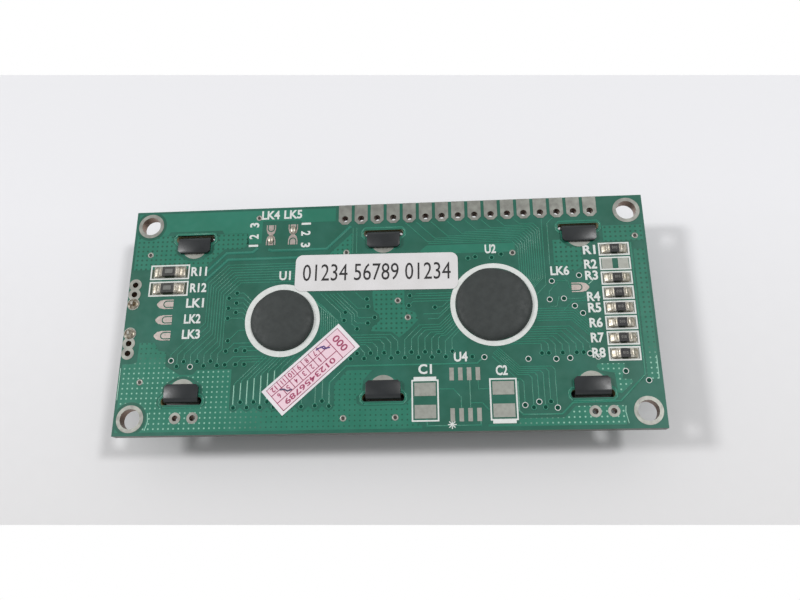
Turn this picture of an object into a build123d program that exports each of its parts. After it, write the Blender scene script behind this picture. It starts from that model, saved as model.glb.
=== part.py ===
from build123d import *
from math import cos, radians, sin
import os

# Character LCD module, lying on its display face with the back of its circuit board up.
# Millimetres, +Z up. The origin is under the middle of the board, on the plane of the display face.
# +X runs along the board, and +Y points to the edge that carries the row of connection pads.

# Circuit board
board_length = 80.0
board_width = 36.0
board_thickness = 1.6
copper = 0.05  # tinned copper above the face of the board
ink = 0.03  # printed white outlines

# Display stack, from the display face up to the board
sheet = 0.5  # steel of the metal frame
polariser_thickness = 0.2
front_glass_thickness = 1.1
cell_gap = 0.05
rear_glass_thickness = 1.1
diffuser_thickness = 0.15
guide_thickness = 3.0
reflector_thickness = 0.1
tray_floor = 0.8

# Metal frame
frame_end_margin = 4.4  # from each end of the board to the frame
frame_side_margin = 4.75  # from each long edge of the board to the frame
window_length = 64.5
window_width = 16.0
frame_bend = 0.8  # outer radius where the face turns into the walls
corner_slit = 0.4  # open seam where two walls meet at a corner
tab_end = 5.6  # from each end of the frame to the middle of its last tabs
tab_width = 5.1
tab_reach = 2.75  # from the outer face of the wall to the free end of the folded tab
tab_bend = 0.3  # inner radius of the fold
tab_corner = 0.4  # cut corners of the tab's free end
slot_length = 6.2
slot_width = 1.3
tab_pad_radius = 2.05
tab_pad_inset = 1.3  # from the middle of the slot to the middle of its ground pad

# Glass cell
glass_clearance = 0.3
contact_ledge = 2.1  # strip of the front glass that the rear glass leaves bare
polariser_inset = 0.5
seal_width = 1.0
seal_inset = 0.4
fill_gap = 6.0  # opening in the seal, closed by the glue plug
plug_clearance = 0.08  # between the bead of glue and the frame's end wall

# Elastomer connector strips
strip_length = 66.0
strip_width = 1.6

# Backlight
tray_wall = 1.0
tray_clearance = 0.2
housing_overhang = 0.3  # from the end of the board to the end of the lamp housing
housing_width = 13.8
housing_wall = 0.6
housing_gap = 0.15  # between the lamp housing and the board, over the pads
frame_notch_clearance = 0.3
lamp_board_thickness = 0.8
lamp_count = 3
lamp_pitch = 3.6
lamp_width = 2.2
lamp_depth = 1.0
lamp_height = 1.6
lamp_air = 0.1  # between each lamp and the light guide
lead_thickness = 0.3
lead_width = 0.55
lead_rise = 0.75  # of the soldered lead above its pad
lead_solder_foot = 0.84  # share of the pad that the solder covers
lead_solder_tip = 1.25  # width of the solder at the lead's tip, in lead widths

# Holes and pads
mount_edge = 2.5
mount_hole = 3.0
mount_pad = 4.1
header_count = 16
header_pitch = 2.54
header_end = 8.0  # from the right end of the board to the first pad of the row
header_edge = 2.4
header_hole = 1.0
header_pad_width = 2.05
header_pad_end = 0.95  # from the hole's centre to the inner end of the pad
header_pad_corner = 0.6  # cut corners of the inner end
lead_pad_edge = 1.0
lead_pad_hole = 0.9
lead_pad_diameter = 1.96
lead_rows = (2.4, 3.95, 5.5)  # each side of the middle of the board
link_hole = 0.86
link_pad = 1.7
link_edge = 2.5
link_pitch = 2.6
link_end_left = 9.3
link_end_right = 7.3

# Chip resistors of the column near the right end
chip_length = 2.3
chip_width = 1.25
chip_height = 0.5
chip_cap = 0.45
chip_cap_skin = 0.04
chip_pad_length = 1.55
chip_pad_width = 1.65
chip_pad_gap = 0.85
column_end = 4.98  # from the right end of the board to the middle of the column
column_first = 9.1
column_pitch = 2.33
column_names = ("r8", "r7", "r6", "r5", "r4", "r3", "r2", "r1")
empty_places = ("r7",)
solder_top = 0.85  # share of the chip's height that the solder climbs

# The two larger chip resistors near the left end
large_chip_length = 2.95
large_chip_width = 1.45
large_pad_length = 1.75
large_pad_width = 1.9
large_pad_gap = 1.6
large_end = 6.35
large_names = ("r9", "r10")
large_drop = 2.15  # from the ground pads of the tabs down to the middle of the first one
large_pitch = 2.75

# Printed outlines
outline = 0.22
column_outline = (4.6, 2.1)
large_outline = (6.25, 2.45)
capacitor_outline = (3.95, 6.1)
polarity_bar = 0.42
polarity_bar_length = 3.3

# Empty places of the lower row
capacitor_pad = (3.1, 1.95)
capacitor_pad_pitch = 3.25
left_capacitor_x = 6.1
right_capacitor_x = 17.35
capacitor_edge = 4.48  # from the lower edge of the board
driver_x = 11.9
driver_edge = 5.3
driver_pad = (0.65, 1.9)
driver_pitch = 1.27
driver_span = 5.95

# Solder links
link_length = 2.6
link_half_width = 0.75
link_neck = 0.12
link_tongue = 0.42
link_split = 0.17
left_link_end = 6.1
left_link_count = 3
left_link_drop = 2.55  # from the last of the large resistors to the first link
left_link_pitch = 2.52
right_link_gap = 5.47  # from the column of resistors
right_link_y = 3.1
double_link_offset = 1.72
double_link_x = (-17.87, -14.35)
double_link_drop = 2.33  # below the line of connection pads
bridge_width = 0.95
bridge_length = 1.5
bridge_height = 0.35
bridge_shift = 0.45  # from the middle of a double link, in offsets of its halves

# Bare chips under epoxy coats, each in a printed ring
left_coat_end = 24.6  # from the left end of the board
left_coat_y = -0.85
left_coat_radius = 4.88
left_ring_radius = 5.75
right_coat_end = 23.4  # from the right end of the board
right_coat_y = 0.85
right_coat_radius = 5.75
right_ring_radius = 6.5
coat_height = 1.15
coat_shoulder = 0.6  # height of the steep rim
coat_roll = 0.5  # how far in the rim turns over to the crown
die_height = 0.4
left_die_size = (3.0, 3.4)
right_die_size = (3.6, 4.2)

# Paper
label_gap = 0.15  # from the ground pads of the tabs
label_bottom = 3.55  # lower edge, just clear of the crowns of the coats
label_left_lap = 1.7  # from the middle of the left coat to the label's end
label_right_lap = 5.2  # the same at the right coat
label_turn = -0.7
label_corner = 1.1
label_thickness = 0.08
sticker_size = (15.15, 4.85)
sticker_gap = 0.65  # from the left ring
sticker_shift = 1.69  # along its own length, down from the point nearest the ring
sticker_turn = 42.1
sticker_thickness = 0.08

# Levels of the stack
front_polariser_z = sheet
front_glass_z = front_polariser_z + polariser_thickness
seal_z = front_glass_z + front_glass_thickness
rear_glass_z = seal_z + cell_gap
rear_polariser_z = rear_glass_z + rear_glass_thickness
diffuser_z = rear_polariser_z + polariser_thickness
guide_z = diffuser_z + diffuser_thickness
reflector_z = guide_z + guide_thickness
tray_floor_z = reflector_z + reflector_thickness
board_z = tray_floor_z + tray_floor
back_z = board_z + board_thickness
pad_z = back_z + copper
ink_z = back_z + ink

# Plan of the frame and of what it holds
frame_length = board_length - 2 * frame_end_margin
frame_width = board_width - 2 * frame_side_margin
cavity_length = frame_length - 2 * sheet
cavity_width = frame_width - 2 * sheet
glass_length = cavity_length - 2 * glass_clearance
glass_width = cavity_width - 2 * glass_clearance
rear_glass_width = glass_width - 2 * contact_ledge
tray_inner_length = glass_length - 2 * tray_wall
tray_inner_width = rear_glass_width - 2 * tray_wall
film_length = tray_inner_length - 2 * tray_clearance
film_width = tray_inner_width - 2 * tray_clearance
strip_y = (glass_width - contact_ledge) / 2
wall_y = (frame_width - sheet) / 2
board_left = -board_length / 2
board_right = board_length / 2
housing_end = board_left + housing_overhang
lead_x = board_left + lead_pad_edge
header_x = board_right - header_end
header_y = board_width / 2 - header_edge
mount_x = board_length / 2 - mount_edge
mount_y = board_width / 2 - mount_edge
tab_pitch = frame_length / 2 - tab_end
tab_places = [(column * tab_pitch, side) for column in (-1, 0, 1) for side in (-1, 1)]
tab_pad_y = wall_y - tab_pad_inset
header_places = [(header_x - i * header_pitch, header_y) for i in range(header_count)]
mount_places = [(sx * mount_x, sy * mount_y) for sx in (-1, 1) for sy in (-1, 1)]
lead_places = [(lead_x, side * row) for side in (-1, 1) for row in lead_rows]
link_y = -board_width / 2 + link_edge
link_places = [
    (board_left + link_end_left, link_y),
    (board_left + link_end_left + link_pitch, link_y),
    (board_right - link_end_right - link_pitch, link_y),
    (board_right - link_end_right, link_y),
]
lead_hole_places = [(lead_x, side * lead_rows[0]) for side in (-1, 1)]

# Plan of the parts on the back of the board
board_bottom = -board_width / 2
column_x = board_right - column_end
large_x = board_left + large_end
large_first = tab_pad_y - tab_pad_radius - large_drop
large_rows = [(name, large_first - i * large_pitch) for i, name in enumerate(large_names)]
left_link_x = board_left + left_link_end
left_link_first = large_rows[-1][1] - left_link_drop
left_links = [(left_link_x, left_link_first - i * left_link_pitch) for i in range(left_link_count)]
right_link = (column_x - right_link_gap, right_link_y)
double_links = [(x, header_y - double_link_drop) for x in double_link_x]
left_capacitor = (left_capacitor_x, board_bottom + capacitor_edge)
right_capacitor = (right_capacitor_x, board_bottom + capacitor_edge)
driver_centre = (driver_x, board_bottom + driver_edge)
left_coat = (board_left + left_coat_end, left_coat_y)
right_coat = (board_right - right_coat_end, right_coat_y)
label_left = left_coat[0] + label_left_lap
label_right = right_coat[0] - label_right_lap
label_top = tab_pad_y - tab_pad_radius - label_gap
label_size = (label_right - label_left, label_top - label_bottom)
label_centre = ((label_left + label_right) / 2, (label_bottom + label_top) / 2)
sticker_reach = left_ring_radius + sticker_gap + sticker_size[1] / 2
sticker_along = (cos(radians(sticker_turn)), sin(radians(sticker_turn)))
sticker_centre = (
    left_coat[0] + sticker_reach * sticker_along[1] - sticker_shift * sticker_along[0],
    left_coat[1] - sticker_reach * sticker_along[0] - sticker_shift * sticker_along[1],
)


def slab(length, width, bottom, thickness, centre=(0, 0)):
    """A flat block of the given plan, from its bottom level up."""
    block = Box(length, width, thickness, align=(Align.CENTER, Align.CENTER, Align.MIN))
    return Pos(centre[0], centre[1], bottom) * block


def disc(diameter, bottom, thickness, centre):
    """A round plate or bore, from its bottom level up."""
    plate = Cylinder(diameter / 2, thickness, align=(Align.CENTER, Align.CENTER, Align.MIN))
    return Pos(centre[0], centre[1], bottom) * plate


def raised(sketch, bottom, thickness):
    """A sketch of the plan made solid, from its bottom level up."""
    return Pos(0, 0, bottom) * extrude(sketch, thickness)


def save(name, *solids):
    """Write one sub-part, as one solid or as a group of separate solids."""
    shape = solids[0] if len(solids) == 1 else Compound(children=list(solids))
    shape.label = name
    export_step(shape, f"parts/{name}.step")


def tab_slots():
    """The plan of the six slots, on the walls of the frame."""
    places = [Pos(x, side * wall_y) for x, side in tab_places]
    return Sketch() + [place * SlotOverall(slot_length, slot_width) for place in places]


def folded_tab(x, side):
    """One tab of the frame: up through its slot, round the fold and flat on its ground pad."""
    outer = frame_width / 2
    inner = outer - sheet
    top = pad_z + sheet
    free = outer - tab_reach
    turn = sin(radians(45))
    outer_bend = tab_bend + sheet
    bend_y = inner - tab_bend
    bend_z = pad_z - tab_bend
    outside = (bend_y + outer_bend * turn, bend_z + outer_bend * turn)
    inside = (bend_y + tab_bend * turn, bend_z + tab_bend * turn)
    edges = [
        Line((inner, board_z), (outer, board_z)),
        Line((outer, board_z), (outer, bend_z)),
        ThreePointArc((outer, bend_z), outside, (bend_y, top)),
        Line((bend_y, top), (free, top)),
        Line((free, top), (free, pad_z)),
        Line((free, pad_z), (bend_y, pad_z)),
        ThreePointArc((bend_y, pad_z), inside, (inner, bend_z)),
        Line((inner, bend_z), (inner, board_z)),
    ]
    profile = Plane.YZ * make_face(edges)
    tab = extrude(profile, tab_width / 2, both=True)
    ends = tab.edges().filter_by(Axis.Z).sort_by(Axis.Y)[:2]
    tab = chamfer(ends, tab_corner)
    if side < 0:
        tab = mirror(tab, Plane.XZ)
    return Pos(x, 0, 0) * tab


def metal_frame():
    """The folded steel frame: face with its window, four walls open at the corners, six tabs."""
    shell = slab(frame_length, frame_width, 0, board_z)
    shell = fillet(shell.faces().sort_by(Axis.Z)[0].edges(), frame_bend)
    cavity = slab(cavity_length, cavity_width, sheet, board_z)
    cavity = fillet(cavity.faces().sort_by(Axis.Z)[0].edges(), frame_bend - sheet)
    shell -= cavity
    shell -= slab(window_length, window_width, -sheet, 3 * sheet)
    seam = slab(4 * sheet, corner_slit, front_glass_z, board_z)
    for sx in (-1, 1):
        for sy in (-1, 1):
            corner = Pos(sx * (frame_length - sheet) / 2, sy * (frame_width - sheet) / 2, 0)
            shell -= corner * Rot(0, 0, 45 * sx * sy) * seam
    notch_width = housing_width + 2 * frame_notch_clearance
    notch_floor = guide_z - frame_notch_clearance
    shell -= slab(4 * sheet, notch_width, notch_floor, board_z, (-frame_length / 2, 0))
    for x, side in tab_places:
        shell += folded_tab(x, side)
    return shell


def cell_seal():
    """The seal between the glasses, open at the filling gap on the right."""
    outer = (glass_length - 2 * seal_inset, rear_glass_width - 2 * seal_inset)
    inner = (outer[0] - 2 * seal_width, outer[1] - 2 * seal_width)
    seal = slab(*outer, seal_z, cell_gap) - slab(*inner, seal_z, cell_gap)
    return seal - slab(4 * seal_width, fill_gap, seal_z, cell_gap, (outer[0] / 2, 0))


def fill_plug():
    """The bead of glue on the end of the two glasses, over the filling gap."""
    height = (front_glass_thickness + rear_glass_thickness) / 2 + cell_gap
    bottom = seal_z - front_glass_thickness / 2
    bulge = glass_clearance - plug_clearance
    bead = make_face(
        [
            Line((0, -fill_gap / 2), (0, fill_gap / 2)),
            ThreePointArc((0, fill_gap / 2), (bulge, 0), (0, -fill_gap / 2)),
        ]
    )
    return Pos(glass_length / 2, 0, 0) * raised(bead, bottom, height)


def lamp_pocket_height():
    """The inner height of the lamp housing."""
    return board_z - housing_gap - guide_z - 2 * housing_wall


def backlight_tray():
    """The white tray: walls round the light guide, a floor, and the lamp housing at the left end."""
    tray = slab(glass_length, rear_glass_width, rear_polariser_z, board_z - rear_polariser_z)
    housing_start = -tray_inner_length / 2
    housing_length = housing_start - housing_end
    housing_x = housing_end + housing_length / 2
    housing_height = board_z - housing_gap - guide_z
    tray += slab(housing_length, housing_width, guide_z, housing_height, (housing_x, 0))
    depth = tray_floor_z - rear_polariser_z
    tray -= slab(tray_inner_length, tray_inner_width, rear_polariser_z, depth)
    pocket = (housing_length, housing_width - 2 * housing_wall)
    tray -= slab(*pocket, guide_z + housing_wall, lamp_pocket_height(), (housing_x, 0))
    for x, y in lead_hole_places:
        gate = lead_width + 2 * tray_clearance
        length = 2 * (x + gate / 2 - housing_end)
        tray -= slab(length, gate, tray_floor_z, 2 * tray_floor, (housing_end, y))
    return tray


def lamp_board_x():
    """The middle of the lamp board, just inside of the leads."""
    return lead_x + (lead_thickness + lamp_board_thickness) / 2


def lamp_board():
    """The upright strip that carries the lamps."""
    width = housing_width - 2 * housing_wall - 2 * tray_clearance
    height = lamp_pocket_height()
    return slab(lamp_board_thickness, width, guide_z + housing_wall, height, (lamp_board_x(), 0))


def lamps():
    """The row of light-emitting diodes on the lamp board."""
    x = lamp_board_x() + (lamp_board_thickness + lamp_depth) / 2
    bottom = guide_z + housing_wall + (lamp_pocket_height() - lamp_height) / 2
    middle = (lamp_count - 1) / 2
    row = [(x, (i - middle) * lamp_pitch) for i in range(lamp_count)]
    return [slab(lamp_depth, lamp_width, bottom, lamp_height, place) for place in row]


def light_guide():
    """The clear plate, with the tongue that takes the lamps' light in through the frame's notch."""
    plate = slab(film_length, film_width, guide_z, guide_thickness)
    tip = lamp_board_x() + lamp_board_thickness / 2 + lamp_depth + lamp_air
    root = -film_length / 2
    width = housing_width - 2 * housing_wall - 2 * tray_clearance
    bottom = guide_z + housing_wall
    height = min(lamp_pocket_height(), guide_thickness - housing_wall)
    tongue = slab(2 * (root - tip), width, bottom, height, (root, 0))
    return plate + tongue


def backlight_lead(y):
    """One flat lead, up from the lamp board through its plated hole."""
    bottom = guide_z + 2 * housing_wall
    height = pad_z + lead_rise - bottom
    lead = slab(lead_thickness, lead_width, bottom, height, (lead_x, y))
    tip = lead.edges().filter_by(Axis.Y).sort_by(Axis.Z)[-2:]
    return chamfer(tip, lead_thickness / 4)


def round_plan(places, diameter):
    """The plan of round pads or holes."""
    return Sketch() + [Pos(x, y) * Circle(diameter / 2) for x, y in places]


def header_pad_plan(place):
    """The plan of one pad of the row: square at the edge of the board, cut at the inner corners."""
    length = board_width / 2 - place[1] + header_pad_end
    middle = board_width / 2 - length / 2
    plan = Pos(place[0], middle) * Rectangle(header_pad_width, length)
    inner = plan.vertices().sort_by(Axis.Y)[:2]
    return chamfer(inner, header_pad_corner)


def circuit_board():
    """The board, one piece with the pads of its plated holes, and its holes and tab slots cut."""
    board = slab(board_length, board_width, board_z, board_thickness)
    board += [raised(header_pad_plan(place), back_z, copper) for place in header_places]
    drilled = (
        (mount_places, mount_pad, mount_hole),
        (lead_places, lead_pad_diameter, lead_pad_hole),
        (link_places, link_pad, link_hole),
    )
    for places, pad, hole in drilled:
        board += raised(round_plan(places, pad), back_z, copper)
    for places, pad, hole in drilled + ((header_places, header_pad_width, header_hole),):
        board -= raised(round_plan(places, hole), board_z, board_thickness + copper)
    return board - raised(tab_slots(), board_z, board_thickness + copper)


def tab_pads():
    """The round ground pads under the tabs, each cut off at its slot."""
    pads = []
    for x, side in tab_places:
        inner = wall_y - slot_width / 2
        plan = Pos(x, tab_pad_y) * Circle(tab_pad_radius)
        plan -= Pos(x, inner) * Rectangle(4 * tab_pad_radius, board_width, align=(Align.CENTER, Align.MIN))
        pad = raised(plan, back_z, copper)
        pads.append(pad if side > 0 else mirror(pad, Plane.XZ))
    return pads


def chip_places():
    """Name, middle, chip, pad sizes and gap of each chip resistor's place."""
    places = []
    for i, name in enumerate(column_names):
        middle = (column_x, column_first - i * column_pitch)
        chip = (chip_length, chip_width)
        places.append((name, middle, chip, (chip_pad_length, chip_pad_width), chip_pad_gap))
    for name, y in large_rows:
        middle = (large_x, y)
        chip = (large_chip_length, large_chip_width)
        places.append((name, middle, chip, (large_pad_length, large_pad_width), large_pad_gap))
    return places


def component_pads():
    """The flat pads of the resistors, the empty capacitors and the empty driver."""
    pads = []
    for name, (x, y), chip, size, gap in chip_places():
        shift = (gap + size[0]) / 2
        pads += [slab(*size, back_z, copper, (x + side * shift, y)) for side in (-1, 1)]
    for x, y in (left_capacitor, right_capacitor):
        shift = capacitor_pad_pitch / 2
        pads += [slab(*capacitor_pad, back_z, copper, (x, y + side * shift)) for side in (-1, 1)]
    x, y = driver_centre
    for i in range(4):
        across = x + (i - 1.5) * driver_pitch
        ends = [(across, y + side * driver_span / 2) for side in (-1, 1)]
        pads += [slab(*driver_pad, back_z, copper, end) for end in ends]
    return pads


def chip_resistor(middle, chip):
    """A chip resistor: its ceramic body and the two caps that stand a little proud of it."""
    body = slab(*chip, pad_z + chip_cap_skin, chip_height, middle)
    for side in (-1, 1):
        x = middle[0] + side * (chip[0] - chip_cap) / 2
        skin = (chip_cap, chip[1] + 2 * chip_cap_skin)
        body += slab(*skin, pad_z, chip_height + 2 * chip_cap_skin, (x, middle[1]))
    return body


def chip_solder(middle, chip, size, gap):
    """The two solder fillets of a chip, hollow slopes from the end of the pad up to the cap."""
    inner = chip[0] / 2
    outer = gap / 2 + size[0]
    top = pad_z + chip_height * solder_top
    foot = pad_z + copper
    bow = (inner + (outer - inner) * 0.3, foot + (top - foot) * 0.3)
    edges = [
        Line((inner, pad_z), (outer, pad_z)),
        Line((outer, pad_z), (outer, foot)),
        ThreePointArc((outer, foot), bow, (inner, top)),
        Line((inner, top), (inner, pad_z)),
    ]
    fillet_solid = extrude(Plane.XZ * make_face(edges), size[1] / 2, both=True)
    right = Pos(middle[0], middle[1], 0) * fillet_solid
    left = Pos(middle[0], middle[1], 0) * mirror(fillet_solid, Plane.YZ)
    return [right, left]


def link_fork(length):
    """A solder link's outer pad: a pointed tip at the left that opens into two prongs at the right."""
    half = link_half_width
    tip = -length / 2
    end = length / 2
    cheek = (tip + half * 0.6, half * 0.78)
    shoulder = (tip + half * 1.5, half)
    upper = [(end, half), shoulder, cheek, (tip, link_neck)]
    lower = [(x, -y) for x, y in reversed(upper)]
    slot_half = link_tongue + link_split
    return Polygon(*upper, *lower, align=None) - tongue_plan(length, slot_half, -link_split)


def tongue_plan(length, half, inset=0.0):
    """The inner pad of a link, or the gap round it: round at the left and open to the right."""
    end = length / 2
    centre = end - 0.55 * length + link_tongue
    plan = Pos(centre, 0) * Circle(half)
    reach = end - centre - inset
    return plan + Pos(centre, 0) * Rectangle(reach, 2 * half, align=(Align.MIN, Align.CENTER))


def link_pads():
    """The pads of the six solder links."""
    pads = []
    places = [(place, 0) for place in left_links] + [(right_link, 180)]
    for (x, y), turn in places:
        for plan in (link_fork(link_length), tongue_plan(link_length, link_tongue)):
            pads.append(Pos(x, y, 0) * Rot(0, 0, turn) * raised(plan, back_z, copper))
    half_length = 2 * double_link_offset
    arm = half_length / 2 + link_neck
    for x, y in double_links:
        fork = Pos(arm / 2 - link_neck, 0) * link_fork(arm)
        double = fork + Rot(0, 0, 180) * fork
        pads.append(Pos(x, y, 0) * Rot(0, 0, 90) * raised(double, back_z, copper))
        for turn in (90, 270):
            tongue = Pos(arm / 2 - link_neck, 0) * tongue_plan(arm, link_tongue)
            pads.append(Pos(x, y, 0) * Rot(0, 0, turn) * raised(tongue, back_z, copper))
    return pads


def link_bridges():
    """The drops of solder that close one half of each double link, arched along the link."""
    half = bridge_length / 2
    arch = ThreePointArc((-half, 0), (0, bridge_height), (half, 0))
    profile = Plane.YZ * make_face([arch, Line((half, 0), (-half, 0))])
    drop = extrude(profile, bridge_width / 2, both=True)
    shift = double_link_offset * bridge_shift
    return [Pos(x, y + side * shift, pad_z) * drop for (x, y), side in zip(double_links, (-1, 1))]


def dome(radius, height):
    """A cap of a ball, flat side down."""
    ball = (radius * radius + height * height) / (2 * height)
    cap = Pos(0, 0, height - ball) * Sphere(ball)
    return split(cap, Plane.XY, keep=Keep.TOP)


def lead_joints():
    """The cones of solder round the backlight's leads, with the lead's own path left open."""
    joints = []
    for x, y in lead_hole_places:
        foot = lead_pad_diameter * lead_solder_foot / 2
        tip = lead_width * lead_solder_tip / 2
        cone = Cone(foot, tip, lead_rise, align=(Align.CENTER, Align.CENTER, Align.MIN))
        path = slab(lead_thickness, lead_width, pad_z, lead_rise, (x, y))
        joints.append(Pos(x, y, pad_z) * cone - path)
    return joints


def epoxy_coat(place, radius, die):
    """A drop of epoxy: steep rounded shoulder, low crown, and the pocket that its chip fills."""
    rim = radius - coat_roll
    drop = Cone(radius, rim, coat_shoulder, align=(Align.CENTER, Align.CENTER, Align.MIN))
    drop += Pos(0, 0, coat_shoulder) * dome(rim, coat_height - coat_shoulder)
    return Pos(place[0], place[1], back_z) * drop - slab(*die, back_z, die_height, place)


def ring(place, inner, outer):
    """A printed white ring round an epoxy coat."""
    return disc(2 * outer, back_z, ink, place) - disc(2 * inner, back_z, ink, place)


def printed_frame(place, size):
    """A printed white outline."""
    inner = (size[0] - 2 * outline, size[1] - 2 * outline)
    return slab(*size, back_z, ink, place) - slab(*inner, back_z, ink, place)


def printed_outlines():
    """The outlines of the resistors and capacitors, with the bar that marks a capacitor's plus side."""
    prints = []
    for name, place, chip, size, gap in chip_places():
        plan = large_outline if name in large_names else column_outline
        prints.append(printed_frame(place, plan))
    for place, side in ((left_capacitor, 1), (right_capacitor, -1)):
        bar_y = place[1] + side * (capacitor_outline[1] + polarity_bar) / 2
        bar = slab(polarity_bar_length, polarity_bar, back_z, ink, (place[0], bar_y))
        prints.append(printed_frame(place, capacitor_outline) + bar)
    return prints


def paper(size, centre, turn, corner, bottom, thickness):
    """A piece of paper stuck on the board."""
    plan = RectangleRounded(*size, corner) if corner else Rectangle(*size)
    return Pos(centre[0], centre[1], bottom) * Rot(0, 0, turn) * extrude(plan, thickness)


os.makedirs("parts", exist_ok=True)

polariser_plan = (glass_length - 2 * polariser_inset, glass_width - 2 * polariser_inset)

save("metal_frame", metal_frame())
save("front_polariser", slab(*polariser_plan, front_polariser_z, polariser_thickness))
save("front_glass", slab(glass_length, glass_width, front_glass_z, front_glass_thickness))
save("cell_seal", cell_seal())
save("fill_plug", fill_plug())
save("rear_glass", slab(glass_length, rear_glass_width, rear_glass_z, rear_glass_thickness))
save("rear_polariser", slab(film_length, film_width, rear_polariser_z, polariser_thickness))
save("diffuser_film", slab(film_length, film_width, diffuser_z, diffuser_thickness))
save("light_guide", light_guide())
save("reflector_film", slab(film_length, film_width, reflector_z, reflector_thickness))
save("backlight_tray", backlight_tray())
save("lamp_board", lamp_board())
save("backlight_lamps", *lamps())
for name, y in (("backlight_lead_near", -lead_rows[0]), ("backlight_lead_far", lead_rows[0])):
    save(name, backlight_lead(y))
for name, y in (("connector_strip_near", -strip_y), ("connector_strip_far", strip_y)):
    save(name, slab(strip_length, strip_width, seal_z, board_z - seal_z, (0, y)))

save("circuit_board", circuit_board())
save("tab_pads", *tab_pads())
save("component_pads", *component_pads())
save("link_pads", *link_pads())
save("link_solder", *link_bridges())
save("lead_solder", *lead_joints())

solder = []
for name, middle, chip, size, gap in chip_places():
    if name not in empty_places:
        save(f"resistor_{name}", chip_resistor(middle, chip))
        solder += chip_solder(middle, chip, size, gap)
save("resistor_solder", *solder)

save("left_chip", slab(*left_die_size, back_z, die_height, left_coat))
save("right_chip", slab(*right_die_size, back_z, die_height, right_coat))
save("left_epoxy_coat", epoxy_coat(left_coat, left_coat_radius, left_die_size))
save("right_epoxy_coat", epoxy_coat(right_coat, right_coat_radius, right_die_size))
save(
    "printed_rings",
    ring(left_coat, left_coat_radius, left_ring_radius),
    ring(right_coat, right_coat_radius, right_ring_radius),
)
save("printed_outlines", *printed_outlines())
save("paper_label", paper(label_size, label_centre, label_turn, label_corner, ink_z, label_thickness))
save("paper_sticker", paper(sticker_size, sticker_centre, sticker_turn, 0, back_z, sticker_thickness))
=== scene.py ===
"""Looks of a character display module that lies on its display face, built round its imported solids.

Sizes are written in millimetres, as on the module's drawing, and become metres where a mesh is made.
"""

import logging
import math
import random
from collections.abc import Callable, Iterable, Sequence
from dataclasses import dataclass
from enum import Enum

import bmesh
import bpy
from mathutils import Matrix, Vector


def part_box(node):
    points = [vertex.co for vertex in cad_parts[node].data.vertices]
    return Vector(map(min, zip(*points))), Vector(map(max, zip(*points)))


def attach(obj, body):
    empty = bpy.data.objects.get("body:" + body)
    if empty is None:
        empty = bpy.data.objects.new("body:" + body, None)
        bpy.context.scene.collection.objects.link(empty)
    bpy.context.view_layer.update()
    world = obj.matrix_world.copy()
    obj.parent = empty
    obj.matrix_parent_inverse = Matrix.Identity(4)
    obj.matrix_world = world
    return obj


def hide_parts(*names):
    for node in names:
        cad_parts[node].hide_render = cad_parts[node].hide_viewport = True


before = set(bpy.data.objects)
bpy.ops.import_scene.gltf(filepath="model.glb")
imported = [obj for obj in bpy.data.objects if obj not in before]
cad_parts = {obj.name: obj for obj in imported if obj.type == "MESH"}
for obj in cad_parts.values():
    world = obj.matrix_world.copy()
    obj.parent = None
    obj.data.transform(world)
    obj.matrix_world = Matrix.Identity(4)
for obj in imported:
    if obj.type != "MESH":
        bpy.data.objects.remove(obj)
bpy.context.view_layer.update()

log = logging.getLogger("display_module")

MM = 0.001

# Heights and places that several pieces share, in millimetres
BOARD_TOP = 8.8
PAD_TOP = 8.85
SLOT_Y = 13.0
SMALL_CHIP_X = 35.02
LARGE_CHIP_X = -33.65
STICKER_AT = (-10.737, -8.531)
STICKER_TURN = 42.1

Point = tuple[float, float]
Place = tuple[float, float, float]
Run = list[Point]
Area = tuple[Run, list[Run]]
Mesh = bpy.types.Mesh
Object = bpy.types.Object
Tree = bpy.types.NodeTree
Socket = bpy.types.NodeSocket


def linear(code: str) -> tuple[float, float, float, float]:
    """Turn an sRGB hex colour into the linear colour that a shader takes.

    Args:
        code: six hex digits.

    Returns:
        Linear red, green and blue, and an alpha of 1.
    """
    parts = [int(code[i : i + 2], 16) / 255 for i in (0, 2, 4)]
    low = [c / 12.92 if c <= 0.04045 else ((c + 0.055) / 1.055) ** 2.4 for c in parts]
    return (low[0], low[1], low[2], 1.0)


def add(
    tree: Tree, kind: str, links: dict | None = None, out: int | str | None = 0, **settings: object
) -> Socket | Sequence[Socket]:
    """Add one node to a tree, with its settings, values and links.

    Args:
        tree: the shader or geometry tree.
        kind: Blender's name for the node.
        links: input name or index, and the value, socket or list of sockets that goes in.
        out: the output to give back, by number or name, or None for all of them.
        settings: properties of the node itself.

    Returns:
        The output asked for, or all the outputs.
    """
    node = tree.nodes.new(kind)
    for key, value in settings.items():
        setattr(node, key, value)
    for key, value in (links or {}).items():
        for one in value if isinstance(value, list) else [value]:
            if isinstance(one, Socket):
                tree.links.new(one, node.inputs[key])
            else:
                node.inputs[key].default_value = one
    return node.outputs if out is None else node.outputs[out]


def put(name: str, data: bpy.types.ID) -> Object:
    """Put a new object into the scene.

    Args:
        name: the object's name.
        data: its mesh, curve, lamp or camera.

    Returns:
        The object.
    """
    item = bpy.data.objects.new(name, data)
    bpy.context.scene.collection.objects.link(item)
    return item


def plain_mesh(source: Object) -> Mesh:
    """Turn an object and its modifiers into a plain mesh, and remove the object.

    Args:
        source: the object with live modifiers.

    Returns:
        The evaluated mesh, free of modifiers.
    """
    bpy.context.view_layer.update()
    seen = source.evaluated_get(bpy.context.evaluated_depsgraph_get())
    mesh = bpy.data.meshes.new_from_object(seen)
    bpy.data.objects.remove(source)
    return mesh


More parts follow.
